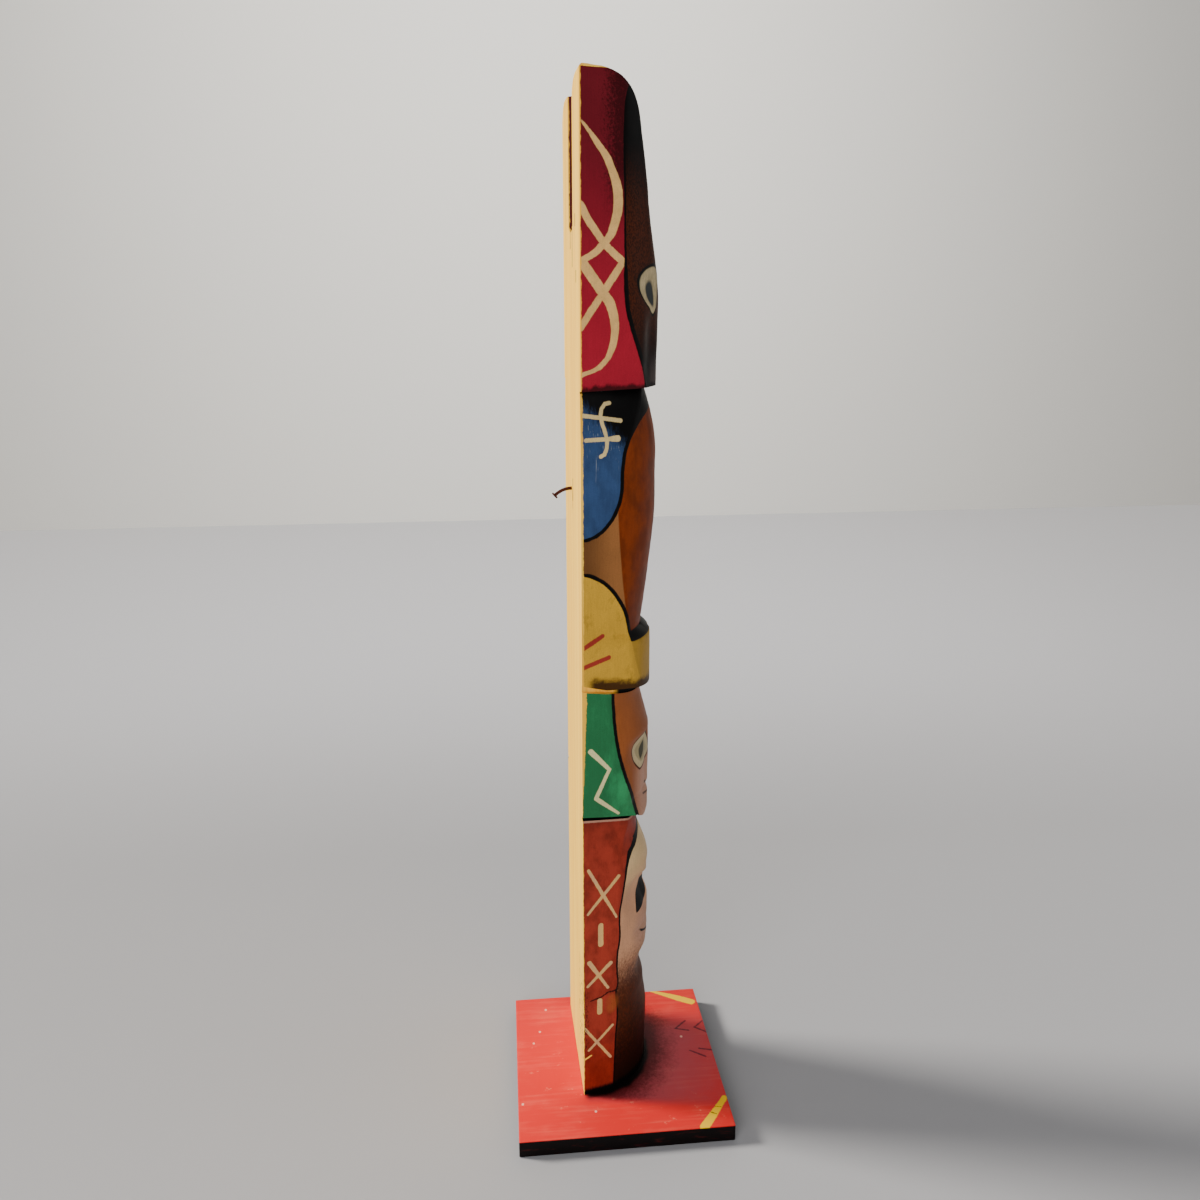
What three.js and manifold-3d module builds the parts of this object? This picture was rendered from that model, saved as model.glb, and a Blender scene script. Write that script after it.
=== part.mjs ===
// Totem pole carved from a half log, standing on a thin square board, with a bent nail in its back.
// Millimetres, +Z up. The origin is the centre of the board's underside, the carved front faces -Y
// and the flat back faces +Y. Heights are measured from the board's underside, depths from the flat
// back, and a side angle is 0 at the back edge and 90 at the middle of the front.
import * as THREE from "three";
import { mergeVertices } from "three/addons/utils/BufferGeometryUtils.js";
import Module from "manifold-3d";

// ---- driving dimensions ----
const TOTAL_HEIGHT = 914.4;
const GAP = 0.3; // clearance between touching pieces
const REACH = 400; // how far a cutting block runs past the wood
const MARGIN = 5; // how far a trimming outline stands clear of the wood

const BOARD = { side: 200, farSide: 195, thick: 17, arris: 0.8 };
const POLE = { x: 20, back: 37.5, turn: 1.2, halfWidth: 67 };
const CORE = { halfWidth: 60, depth: 56, facet: 40 }; // wood left at the bottom of each joint

const EARS = {
  bottom: 681.5, muzzle: 70.6, nose: 770, noseDepth: 68.8, noseDrop: 18, depth: 72,
  shoulder: 877, shoulderDepth: 49.5, crown: 8, crownBulge: 45.5, backRound: 4,
  temple: 834, templeDepth: 56.4, templeBow: 2, templeDrop: 30,
};
const MUZZLE_GROOVE = { angle: 62, spread: 17, depth: 4, from: 672, full: 703, fade: 722, end: 745 };
const EAR_EYE = { angle: 56, spread: 22, height: 757, tall: 26 };
const SLOT = { centre: 3, width: 32, bottom: 802, ragged: 4, chips: 5 };
const EAR_TIPS = { innerDrop: 12, innerRun: 38, farDrop: 8, farShoulder: 8, farRound: 20 };

const BODY = {
  top: 679.5, neck: 60, neckHalfWidth: 61.5, chest: 627, depth: 70.6, belly: 579,
  waist: 474, waistDepth: 58.6, halfWidth: 66,
};
const FEET = { top: 475, lip: 468, depth: 68, bottomBack: 436, bottomFront: 417.5, cleft: 5, grow: 0.6 };

const GREEN = {
  topBack: 427, topFront: 413, topDepth: 58.4, brow: 378, depth: 67.8,
  bottomBack: 312, bottomFront: 286, chin: 8, halfWidth: 66.2,
};
const GREEN_FACE = { eye: 362, eyeTall: 24, noseTop: 376, noseFoot: 300, mouth: 313 };

const LOWER = {
  topBack: 309.2, topFront: 282.5, topDepth: 57, forehead: 253, brow: 244, browDepth: 68.7,
  eye: 212, eyeDepth: 64, cheek: 196, mouth: 163, cheekDepth: 68.9, throat: 139, neck: 128,
  neckDepth: 60.8, shoulder: 108, belly: 77, bellyDepth: 68.6, footDepth: 68,
};
const LOWER_FACE = { noseTop: 236, noseFoot: 186, mouth: 176 };
const SOCKET_DEPTH = 2.4;
const NOSE = { rise: 3, inner: 84, outer: 76 };
const MOUTH = { depth: 1.7, inner: 52, outer: 42, half: 5 };

const NAIL = { x: 9, z: 591.8, radius: 1.45, out: 14.5, inside: 12, droop: 6, head: 3.1, headThick: 1.3 };

// Each side is planed to a flat facet. Its front edge lies at this side angle, which opens out
// from a middle value towards one end of the band.
const FACETS = {
  ears: { middle: 29.8, opens: 26, from: 765, to: 681, power: 1.55 },
  chest: { middle: 29, opens: 36, from: 620, to: 679, power: 1.6 },
  belly: { middle: 27, opens: 20, from: 577, to: 474, power: 1.2 },
  feet: { middle: 39, opens: 8, from: 466, to: 425, power: 1 },
  green: { middle: 22, opens: 25.5, from: 423, to: 304, power: 1.5 },
  lower: { middle: 31, opens: 19, from: 240, to: 290, power: 2 },
  foot: { middle: 31, opens: -7, from: 200, to: 16, power: 1 },
};

const SIDE_STEPS = 28; // strips round the half log
const FACET_STEPS = 4; // of them on each planed side
const ROW = 8; // height of one row of facets

// ---- small helpers ----
const wasm = await Module();
wasm.setup();
const X = new THREE.Vector3(1, 0, 0);
const Y = new THREE.Vector3(0, 1, 0);
const Z = new THREE.Vector3(0, 0, 1);
const { lerp, inverseLerp, clamp, degToRad, radToDeg } = THREE.MathUtils;
const ramp = (v, from, to) => clamp(inverseLerp(from, to, v), 0, 1);
const swell = (t) => Math.sin((t * Math.PI) / 2);
const bump = (v, centre, half) => Math.cos((clamp(Math.abs(v - centre) / half, 0, 1) * Math.PI) / 2) ** 2;

function toSolid(geometry) {
  const bare = geometry.clone();
  bare.deleteAttribute("normal");
  bare.deleteAttribute("uv");
  const merged = mergeVertices(bare, 1e-4);
  return new wasm.Manifold(
    new wasm.Mesh({
      numProp: 3,
      vertProperties: new Float32Array(merged.attributes.position.array),
      triVerts: new Uint32Array(merged.index.array),
    }),
  );
}

function toMesh(name, solid, material) {
  const cut = solid.getMesh();
  const geometry = new THREE.BufferGeometry();
  geometry.setAttribute("position", new THREE.BufferAttribute(cut.vertProperties, 3));
  geometry.setIndex(new THREE.BufferAttribute(cut.triVerts, 1));
  const mesh = new THREE.Mesh(geometry, material);
  mesh.name = name;
  return mesh;
}

function polygon(points) {
  return new THREE.Shape(points.map(([a, b]) => new THREE.Vector2(a, b)));
}

// A block with its outline drawn in (y, z), running across the whole width of the pole.
function acrossWidth(shape) {
  const width = 4 * POLE.halfWidth;
  const geometry = new THREE.ExtrudeGeometry(shape, { depth: width, bevelEnabled: false, curveSegments: 10 });
  geometry.applyMatrix4(new THREE.Matrix4().makeBasis(Y, Z, X));
  geometry.translate(-width / 2, 0, 0);
  return toSolid(geometry);
}

// A block with its outline drawn in (x, z), running from behind the pole to in front of it.
function throughDepth(shape) {
  const depth = 2 * EARS.depth;
  const geometry = new THREE.ExtrudeGeometry(shape, { depth, bevelEnabled: false, curveSegments: 12 });
  geometry.applyMatrix4(new THREE.Matrix4().makeBasis(X, Z, Y.clone().negate()));
  geometry.translate(0, POLE.back + EARS.depth / 2, 0);
  return toSolid(geometry);
}

// Everything above, or below, a plane that slopes from one height at the back to another at the front.
function slopedCut(heightAtBack, heightAtFront, depth, keep) {
  const slope = (heightAtFront - heightAtBack) / depth;
  const behind = POLE.back + depth;
  const before = POLE.back - 2 * depth;
  const height = (y) => heightAtBack + slope * (POLE.back - y);
  const away = keep === "above" ? REACH : -REACH;
  const shape = polygon([
    [behind, height(behind)],
    [before, height(before)],
    [before, height(before) + away],
    [behind, height(behind) + away],
  ]);
  return acrossWidth(shape);
}

function facetAngle({ middle, opens, from, to, power }, z) {
  return middle + opens * ramp(z, from, to) ** power;
}

// One carved band: rows of a half log stood on its flat back, planed flat on both sides.
// section(z) gives its half width, depth and facet angle, and carve(angle, z) the wood cut away.
function band(bottom, top, section, carve = () => 0, crisp = []) {
  const count = Math.round((top - bottom) / ROW);
  const even = Array.from({ length: count + 1 }, (_, i) => lerp(bottom, top, i / count));
  const wanted = [...even, ...crisp.filter((z) => z > bottom && z < top)].sort((a, b) => a - b);
  const heights = wanted.filter((z, i) => i === 0 || z === top || (z - wanted[i - 1] > 1.2 && top - z > 0.2));
  const rows = heights.length - 1;
  const half = new THREE.Shape();
  half.absarc(0, 0, 1, Math.PI, 2 * Math.PI, false);
  const geometry = new THREE.ExtrudeGeometry(half, {
    depth: 1,
    steps: rows,
    curveSegments: SIDE_STEPS / 2,
    bevelEnabled: false,
  });
  const position = geometry.attributes.position;
  for (let i = 0; i < position.count; i++) {
    const z = heights[Math.round(position.getZ(i) * rows)];
    const { halfWidth, depth, facet } = section(z);
    const around = Math.atan2(-position.getY(i), -position.getX(i)) / Math.PI;
    const strip = Math.round(around * SIDE_STEPS);
    const fromSide = Math.min(strip, SIDE_STEPS - strip);
    const onFacet = fromSide < FACET_STEPS;
    const frontShare = (fromSide - FACET_STEPS) / (SIDE_STEPS / 2 - FACET_STEPS);
    const angle = onFacet ? (facet * fromSide) / FACET_STEPS : lerp(facet, 90, frontShare);
    const edge = [halfWidth * Math.cos(degToRad(facet)), depth * Math.sin(degToRad(facet))];
    const [cos, sin] = [Math.cos(degToRad(angle)), Math.sin(degToRad(angle))];
    const across = onFacet ? lerp(halfWidth, edge[0], fromSide / FACET_STEPS) : halfWidth * cos;
    const out = onFacet ? lerp(0, edge[1], fromSide / FACET_STEPS) : depth * sin;
    const cut = carve(angle, z);
    const x = across - cut * cos;
    const y = out - cut * sin;
    position.setXYZ(i, strip < SIDE_STEPS / 2 ? -x : x, POLE.back - y, z);
  }
  return toSolid(geometry);
}

// ---- the four carved bands, from the top down ----
function earBand() {
  const section = (z) => ({
    halfWidth: POLE.halfWidth,
    depth: lerp(EARS.muzzle, EARS.depth, ramp(z, EARS.bottom, EARS.nose)),
    facet: facetAngle(FACETS.ears, z),
  });
  const groove = MUZZLE_GROOVE;
  const carve = (angle, z) => {
    const along = swell(ramp(z, groove.from, groove.full)) * swell(ramp(z, groove.end, groove.fade));
    const beside = groove.depth * bump(angle, groove.angle, groove.spread) * along;
    const socket = bump(angle, EAR_EYE.angle, EAR_EYE.spread) * bump(z, EAR_EYE.height, EAR_EYE.tall);
    return beside + SOCKET_DEPTH * socket;
  };
  return band(EARS.bottom, TOTAL_HEIGHT, section, carve).intersect(earProfile());
}

// The side view of the head: ears that lean back from the brow and round over to the flat back.
function earProfile() {
  const top = TOTAL_HEIGHT - 0.1;
  const below = EARS.bottom - MARGIN;
  const temple = POLE.back - EARS.templeDepth;
  const nose = POLE.back - EARS.noseDepth;
  const front = POLE.back - EARS.depth;
  const side = new THREE.Shape();
  side.moveTo(POLE.back + MARGIN, below);
  side.lineTo(POLE.back + MARGIN, top - EARS.backRound);
  side.lineTo(POLE.back, top - EARS.backRound);
  side.quadraticCurveTo(POLE.back, top, POLE.back - EARS.crown, top);
  side.quadraticCurveTo(POLE.back - EARS.crownBulge, top, POLE.back - EARS.shoulderDepth, EARS.shoulder);
  side.lineTo(temple, EARS.temple);
  side.quadraticCurveTo(temple - EARS.templeBow, EARS.temple - EARS.templeDrop, nose, EARS.nose);
  side.lineTo(front, EARS.nose - EARS.noseDrop);
  side.lineTo(front - MARGIN, EARS.nose - EARS.noseDrop);
  side.lineTo(front - MARGIN, below);
  return acrossWidth(side);
}

function bodyBand() {
  const section = (z) => {
    if (z > BODY.belly) {
      const t = swell(ramp(z, BODY.top, BODY.chest));
      return {
        halfWidth: lerp(BODY.neckHalfWidth, BODY.halfWidth, t),
        depth: lerp(BODY.neck, BODY.depth, t),
        facet: facetAngle(FACETS.chest, z),
      };
    }
    return {
      halfWidth: BODY.halfWidth,
      depth: lerp(BODY.depth, BODY.waistDepth, ramp(z, BODY.belly, BODY.waist) ** 1.2),
      facet: facetAngle(FACETS.belly, z),
    };
  };
  return band(FEET.bottomFront - 20, BODY.top, section);
}

// The haunches end in a pair of blunt feet that stand out over the band below.
function feet() {
  const below = FEET.bottomFront - 20;
  const front = POLE.back - FEET.depth;
  const inside = POLE.back - 30;
  const side = new THREE.Shape();
  side.moveTo(inside, below);
  side.lineTo(front, below);
  side.lineTo(front, FEET.lip - 5);
  side.quadraticCurveTo(front, FEET.lip, front + 5, FEET.lip + 2.5);
  side.lineTo(POLE.back - BODY.waistDepth, FEET.top);
  side.lineTo(inside, FEET.top);
  const plan = (z) => ({
    halfWidth: BODY.halfWidth + FEET.grow,
    depth: FEET.depth,
    facet: facetAngle(FACETS.feet, z),
  });
  const block = acrossWidth(side).intersect(band(below, FEET.top, plan));
  const cleft = new THREE.CylinderGeometry(FEET.cleft, FEET.cleft, 2 * FEET.top, 4);
  cleft.rotateX(Math.PI / 2);
  cleft.translate(0, front, 0);
  return block.subtract(toSolid(cleft));
}

function greenBand() {
  const section = (z) => {
    const forehead = lerp(GREEN.depth, GREEN.topDepth, ramp(z, GREEN.brow, GREEN.topFront));
    const chin = GREEN.chin * (1 - swell(ramp(z, GREEN.bottomFront - 1, GREEN.bottomFront + 10)));
    return {
      halfWidth: GREEN.halfWidth,
      depth: z > GREEN.brow ? forehead : GREEN.depth - chin,
      facet: facetAngle(FACETS.green, z),
    };
  };
  const face = GREEN_FACE;
  const carve = (angle, z) => {
    const cheeks = ramp(angle, NOSE.inner, NOSE.outer) * ramp(angle, 34, MOUTH.inner);
    const below = swell(ramp(z, face.noseTop, face.noseTop - 10));
    const along = below * swell(ramp(z, face.noseFoot, face.noseFoot + 12));
    const nose = NOSE.rise * cheeks * along;
    const socket = SOCKET_DEPTH * bump(angle, 55, 20) * bump(z, face.eye, face.eyeTall);
    const mouth = ramp(angle, MOUTH.outer, MOUTH.inner) * bump(z, face.mouth, MOUTH.half);
    return nose + socket + MOUTH.depth * mouth;
  };
  return band(GREEN.bottomFront - 8, GREEN.topBack + 8, section, carve, [GREEN.brow, face.mouth]);
}

function lowerBand() {
  const profile = [
    [BOARD.thick, LOWER.footDepth],
    [LOWER.belly, LOWER.bellyDepth],
    [LOWER.shoulder, lerp(LOWER.neckDepth, LOWER.bellyDepth, 0.6)],
    [LOWER.neck, LOWER.neckDepth],
    [LOWER.throat, LOWER.neckDepth + 1.5],
    [LOWER.mouth - 10, LOWER.cheekDepth - 1],
    [LOWER.mouth, LOWER.cheekDepth],
    [LOWER.cheek, LOWER.cheekDepth],
    [LOWER.eye, LOWER.eyeDepth],
    [LOWER.brow, LOWER.browDepth],
    [LOWER.forehead, LOWER.browDepth - 1.2],
    [LOWER.topFront, LOWER.topDepth],
    [LOWER.topBack + 20, LOWER.topDepth],
  ];
  const depthAt = (z) => {
    const next = Math.max(1, profile.findIndex(([height]) => height >= z));
    const [[z0, d0], [z1, d1]] = [profile[next - 1], profile[next]];
    return lerp(d0, d1, THREE.MathUtils.smoothstep(z, z0, z1));
  };
  const section = (z) => ({
    halfWidth: POLE.halfWidth,
    depth: depthAt(z),
    facet: facetAngle(z > 220 ? FACETS.lower : FACETS.foot, z),
  });
  const face = LOWER_FACE;
  const carve = (angle, z) => {
    const cheeks = ramp(angle, NOSE.inner, NOSE.outer - 2) * ramp(angle, 36, MOUTH.inner);
    const below = swell(ramp(z, face.noseTop, face.noseTop - 10));
    const along = below * swell(ramp(z, face.noseFoot, face.noseFoot + 14));
    const nose = 1.2 * NOSE.rise * cheeks * along;
    return nose + MOUTH.depth * ramp(angle, MOUTH.outer, MOUTH.inner) * bump(z, face.mouth, MOUTH.half);
  };
  const crisp = [...profile.map(([height]) => height), face.mouth];
  return band(BOARD.thick + GAP, LOWER.topBack + 6, section, carve, crisp);
}

// ---- cuts at the ears ----
// The slot between the ears, with the stepped end that a chisel leaves.
function earSlot() {
  const left = SLOT.centre - SLOT.width / 2;
  const end = Array.from({ length: SLOT.chips + 1 }, (_, i) => {
    const t = i / SLOT.chips;
    const hollow = SLOT.ragged * (1 - Math.sin(Math.PI * t));
    return [left + SLOT.width * t, SLOT.bottom + hollow + (i % 2) * 0.6 * SLOT.ragged];
  });
  const above = TOTAL_HEIGHT + 20;
  return throughDepth(polygon([[left, above], ...end, [left + SLOT.width, above]]));
}

// The outline that both ear tips are trimmed to, seen from the front.
function earOutline() {
  const edge = POLE.halfWidth + MARGIN;
  const slotLeft = SLOT.centre - SLOT.width / 2;
  const slotRight = SLOT.centre + SLOT.width / 2;
  const farTop = TOTAL_HEIGHT - EAR_TIPS.farDrop;
  const farFoot = farTop - EAR_TIPS.farRound;
  const shape = new THREE.Shape();
  shape.moveTo(-edge, 0);
  shape.lineTo(-edge, TOTAL_HEIGHT);
  shape.lineTo(slotLeft - EAR_TIPS.innerRun, TOTAL_HEIGHT);
  shape.quadraticCurveTo(slotLeft - 4, TOTAL_HEIGHT - 1, slotLeft, TOTAL_HEIGHT - EAR_TIPS.innerDrop);
  shape.lineTo(slotRight, farTop - 1.5);
  shape.lineTo(slotRight + EAR_TIPS.farShoulder, farTop);
  shape.lineTo(POLE.halfWidth - 1.4 * EAR_TIPS.farRound, farTop);
  shape.quadraticCurveTo(POLE.halfWidth - 2, farTop - 2, POLE.halfWidth, farFoot);
  shape.lineTo(edge, farFoot);
  shape.lineTo(edge, 0);
  return throughDepth(shape);
}

// ---- the nail ----
function tube(path, radius, steps) {
  const round = new THREE.Shape();
  round.absarc(0, 0, radius, 0, 2 * Math.PI, false);
  return toSolid(new THREE.ExtrudeGeometry(round, { extrudePath: path, steps, curveSegments: 6 }));
}

function nailSolid() {
  const inner = new THREE.Vector3(NAIL.x, POLE.back - NAIL.inside, NAIL.z);
  const entry = new THREE.Vector3(NAIL.x, POLE.back, NAIL.z);
  const bend = new THREE.Vector3(NAIL.x, POLE.back + 0.55 * NAIL.out, NAIL.z - 0.2 * NAIL.droop);
  const tip = new THREE.Vector3(NAIL.x, POLE.back + NAIL.out, NAIL.z - NAIL.droop);
  const path = new THREE.CurvePath();
  path.add(new THREE.LineCurve3(inner, entry));
  path.add(new THREE.QuadraticBezierCurve3(entry, bend, tip));
  const head = new THREE.CylinderGeometry(NAIL.head, 0.9 * NAIL.head, NAIL.headThick, 18);
  head.applyQuaternion(new THREE.Quaternion().setFromUnitVectors(Y, tip.clone().sub(bend).normalize()));
  head.translate(tip.x, tip.y, tip.z);
  return tube(path, NAIL.radius, 12).add(toSolid(head));
}

function nailHole() {
  const end = new THREE.Vector3(NAIL.x, POLE.back - NAIL.inside - GAP, NAIL.z);
  const mouth = new THREE.Vector3(NAIL.x, POLE.back + GAP, NAIL.z);
  return tube(new THREE.LineCurve3(end, mouth), NAIL.radius + GAP, 1);
}

// ---- the pieces ----
function poleSolid() {
  const core = band(BOARD.thick + GAP, EARS.bottom + 30, () => CORE);
  const ears = earBand().intersect(earOutline());
  const body = bodyBand()
    .add(feet())
    .intersect(slopedCut(FEET.bottomBack, FEET.bottomFront, FEET.depth, "above"));
  const green = greenBand()
    .intersect(slopedCut(GREEN.topBack, GREEN.topFront, GREEN.topDepth, "below"))
    .intersect(slopedCut(GREEN.bottomBack, GREEN.bottomFront, GREEN.depth, "above"));
  const lower = lowerBand().intersect(slopedCut(LOWER.topBack, LOWER.topFront, LOWER.topDepth, "below"));
  const wood = [ears, body, green, lower].reduce((joined, carved) => joined.add(carved), core);
  return wood.subtract(earSlot()).subtract(nailHole());
}

function boardSolid() {
  const near = BOARD.side / 2 - BOARD.arris;
  const far = BOARD.farSide / 2 - BOARD.arris;
  const outline = polygon([
    [-near, -near],
    [near, -far],
    [near, far],
    [-near, near],
  ]);
  const geometry = new THREE.ExtrudeGeometry(outline, {
    depth: BOARD.thick - 2 * BOARD.arris,
    bevelThickness: BOARD.arris,
    bevelSize: BOARD.arris,
    bevelSegments: 2,
  });
  geometry.translate(0, 0, BOARD.arris);
  return toSolid(geometry);
}

const paintedWood = new THREE.MeshStandardMaterial({ color: 0x8c3a22, roughness: 0.55, metalness: 0 });
const redPaint = new THREE.MeshStandardMaterial({ color: 0xd9473f, roughness: 0.5, metalness: 0 });
const rustyIron = new THREE.MeshStandardMaterial({ color: 0x3a1c14, roughness: 0.7, metalness: 0.6 });

const carving = new THREE.Group();
carving.position.set(POLE.x, 0, 0);
carving.rotation.z = degToRad(POLE.turn);
carving.add(toMesh("totem_pole", poleSolid(), paintedWood));
carving.add(toMesh("nail", nailSolid(), rustyIron));

const totem = new THREE.Group();
totem.add(toMesh("base_board", boardSolid(), redPaint));
totem.add(carving);
export default totem;
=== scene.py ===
"""Totem pole carved from a half log, standing on a thin painted board, with a bent nail in its back."""

import math
from types import SimpleNamespace as Group

import bpy
from bpy.props import FloatProperty, FloatVectorProperty, PointerProperty
from mathutils import Matrix, Vector, noise


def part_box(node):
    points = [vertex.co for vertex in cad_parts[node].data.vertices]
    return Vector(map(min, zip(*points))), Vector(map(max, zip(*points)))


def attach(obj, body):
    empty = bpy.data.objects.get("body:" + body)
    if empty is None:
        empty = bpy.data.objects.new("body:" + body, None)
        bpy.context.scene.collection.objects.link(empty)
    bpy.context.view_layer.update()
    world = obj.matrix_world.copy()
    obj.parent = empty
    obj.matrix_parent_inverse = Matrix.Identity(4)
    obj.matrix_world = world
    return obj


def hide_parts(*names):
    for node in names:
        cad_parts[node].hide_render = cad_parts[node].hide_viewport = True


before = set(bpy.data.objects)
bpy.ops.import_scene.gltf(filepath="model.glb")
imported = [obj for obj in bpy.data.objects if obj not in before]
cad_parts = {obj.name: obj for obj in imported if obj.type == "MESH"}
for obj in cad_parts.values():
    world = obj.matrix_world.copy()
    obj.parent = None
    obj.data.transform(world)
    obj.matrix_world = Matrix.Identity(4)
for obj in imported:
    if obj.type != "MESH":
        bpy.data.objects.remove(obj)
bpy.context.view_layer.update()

bl_info = {
    "name": "Totem pole",
    "version": (1, 0, 0),
    "blender": (4, 5, 0),
    "location": "3D Viewport > Sidebar > Totem",
    "description": "Models and paints a carved half-log totem pole on its board",
    "category": "Add Mesh",
}

MM = 0.001
BOARD_LOW, BOARD_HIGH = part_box("base_board")
POLE_LOW, POLE_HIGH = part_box("totem_pole")

# ---- where the pole stands on its board, in mm ----
POLE_X = 20.0
POLE_BACK = 37.5
POLE_TURN = math.radians(1.2)
TO_WORLD = Matrix.Translation((POLE_X * MM, 0, 0)) @ Matrix.Rotation(POLE_TURN, 4, "Z") @ Matrix.Scale(MM, 4)

# ---- the slot between the ears, in mm ----
SLOT = Group(centre=3, width=32, foot=802)

# ---- how finely the log is divided ----
FACET_COLUMNS = 20
FRONT_COLUMNS = 56
BACK_COLUMNS = 40
LAST_CARVED = 2 * FACET_COLUMNS + FRONT_COLUMNS
COLUMNS = LAST_CARVED + BACK_COLUMNS
ROWS_STEP = 20


def ramp(value, start, end):
    """0 at start, 1 at end, straight between and held beyond."""
    return min(1.0, max(0.0, (value - start) / (end - start)))


def lerp(a, b, share):
    return a + (b - a) * share


def ease(share):
    return share * share * (3 - 2 * share)


def swell(share):
    return math.sin(share * math.pi / 2)


def bump(value, centre, half):
    """A smooth hill of height 1 that ends half away from its centre."""
    return math.cos(min(1.0, abs(value - centre) / half) * math.pi / 2) ** 2


def arc(share, start, pull, end):
    """A curve from start to end that leans towards pull."""
    return (1 - share) ** 2 * start + 2 * share * (1 - share) * pull + share**2 * end


# ---------------------------------------------------------------- sizes and colours
def length(name, text, value):
    return FloatProperty(name=name, description=text, default=value, min=0, unit="LENGTH", precision=4)


def number(name, text, value):
    return FloatProperty(name=name, description=text, default=value, min=0)


def place_of(name, text, value):
    kind = {"subtype": "TRANSLATION", "unit": "LENGTH"}
    return FloatVectorProperty(name=name, description=text, default=value, **kind)


def colour(name, text, value):
    return FloatVectorProperty(name=name, description=text, default=value, min=0, max=1, subtype="COLOR")


def angle(name, text, degrees):
    return FloatProperty(name=name, description=text, default=math.radians(degrees), unit="ROTATION")


class TotemPoleSizes(bpy.types.PropertyGroup):
    """Sizes of the cuts in the half log."""

    ear_slot: length("Ear slot", "Width of the slot between the ears", SLOT.width * MM)
    slot_centre: length("Slot centre", "How far the slot is from the log's middle", SLOT.centre * MM)
    slot_foot: length("Slot foot", "Height of the foot of the slot", SLOT.foot * MM)
    unevenness: length("Hand-cut unevenness", "How far the carved surface wanders", 0.00035)


class TotemPaintColours(bpy.types.PropertyGroup):
    """Colours of the paint on the pole."""

    wood: colour("Bare wood", "Planed wood at the back and under worn paint", (1.0, 0.61, 0.08))
    wood_dark: colour("Wood grain", "Darker grain and dirt in bare wood", (0.86, 0.43, 0.035))
    red: colour("Ear red", "Red of the ears", (0.34, 0.011, 0.028))
    red_dark: colour("Ear red, top", "Darker red at the ear tips", (0.12, 0.007, 0.013))
    # dark red inside the slot: its red paint darkened with painted shade of the recess
    slot_red_shaded: colour("Slot red", "Dull red inside the slot", (0.10, 0.012, 0.014))
    pale: colour("Eyes", "Greyish cream of the eyes", (0.56, 0.45, 0.25))
    pupil: colour("Ear eye", "Dark grey of the upper eyes", (0.035, 0.04, 0.04))
    olive: colour("Leaf eye", "Olive ring of the leaf-shaped eyes", (0.20, 0.17, 0.08))
    olive_dark: colour("Leaf pupil", "Dark olive of the leaf-shaped pupils", (0.06, 0.055, 0.03))
    cream: colour("Cream", "Loops and signs", (0.66, 0.40, 0.14))
    black: colour("Black", "Outlines", (0.0012, 0.001, 0.001))
    muzzle: colour("First face", "Dark brown of the first face", (0.050, 0.009, 0.0015))
    # a painted highlight: grey near the front edge at the foot of the first face
    muzzle_highlight: colour("First face, foot", "Dusty grey at the foot of the first face", (0.10, 0.075, 0.07))
    blue: colour("Blue", "Blue of the wing", (0.030, 0.065, 0.16))
    scratch: colour("Scratches", "Pale scratches on the blue", (0.42, 0.45, 0.42))
    brown: colour("Side brown", "Brown of the belly's planed sides", (0.21, 0.085, 0.026))
    belly: colour("Belly brown", "Deeper brown of the belly", (0.21, 0.034, 0.003))
    straw: colour("Zigzag", "Pale yellow of the zigzag", (0.66, 0.60, 0.30))
    cheek: colour("Cheek", "Rosy tan of the lower cheeks", (0.52, 0.28, 0.19))
    yellow: colour("Yellow", "Yellow of the haunches", (0.55, 0.31, 0.03))
    dash: colour("Red dashes", "Red of the dashes on the yellow", (0.30, 0.03, 0.02))
    green: colour("Green", "Green of the third figure", (0.018, 0.14, 0.05))
    tan: colour("Third face", "Tan of the third face", (0.30, 0.085, 0.022))
    earth: colour("Earth red", "Red-brown of the lowest figure", (0.33, 0.036, 0.020))
    earth_dark: colour("Earth red, foot", "Deeper red near the foot", (0.16, 0.006, 0.003))
    rubbed: colour("Rubbed place", "Orange of the place rubbed under the crack", (0.36, 0.085, 0.022))
    skin: colour("Fourth face", "Pinkish tan of the lowest face", (0.66, 0.34, 0.19))
    brow: colour("Fourth brow", "Warm cream of the lowest brow", (0.72, 0.50, 0.25))
    bark: colour("Dark brown", "Dark brown under the lowest face", (0.085, 0.022, 0.008))
    bark_fleck: colour("Brown flecks", "Warmer flecks in the dark brown", (0.12, 0.020, 0.004))


class TotemBoardSizes(bpy.types.PropertyGroup):
    """Sizes and colours of the board."""

    side: length("Side", "Length of the board's near edge", BOARD_HIGH.x - BOARD_LOW.x)
    far_side: length("Far side", "Length of the board's far edge", 0.195)
    thickness: length("Thickness", "Thickness of the board", BOARD_HIGH.z - BOARD_LOW.z)
    arris: length("Arris", "Rounding of the edges", 0.0008)
    red: colour("Red", "Red of the top", (0.66, 0.020, 0.018))
    scuff: colour("Scuffs", "Pink of the scuffed places", (0.80, 0.12, 0.080))
    rub: colour("Rubs", "Pale pink of the rubbed places", (0.9, 0.36, 0.22))
    dot: colour("Dots", "Pale pink of the small chips", (0.9, 0.55, 0.42))
    # a painted cast shadow with purple grime, laid in front of the pole's foot
    grime_and_cast_shadow: colour("Haze", "Purple grime in front of the foot", (0.40, 0.085, 0.11))
    edge: colour("Edges", "Black of the edges", (0.0025, 0.001, 0.001))
    edge_red: colour("Edge red", "Red that shows through the black", (0.06, 0.006, 0.006))
    band: colour("Bands", "Yellow of the corner bands", (0.90, 0.53, 0.0))
    band_scratch: colour("Band scratches", "Brown of the scratches in a band", (0.1, 0.04, 0.01))
    scribble: colour("Chevrons", "Dark purple of the thin chevrons", (0.05, 0.008, 0.02))


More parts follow.
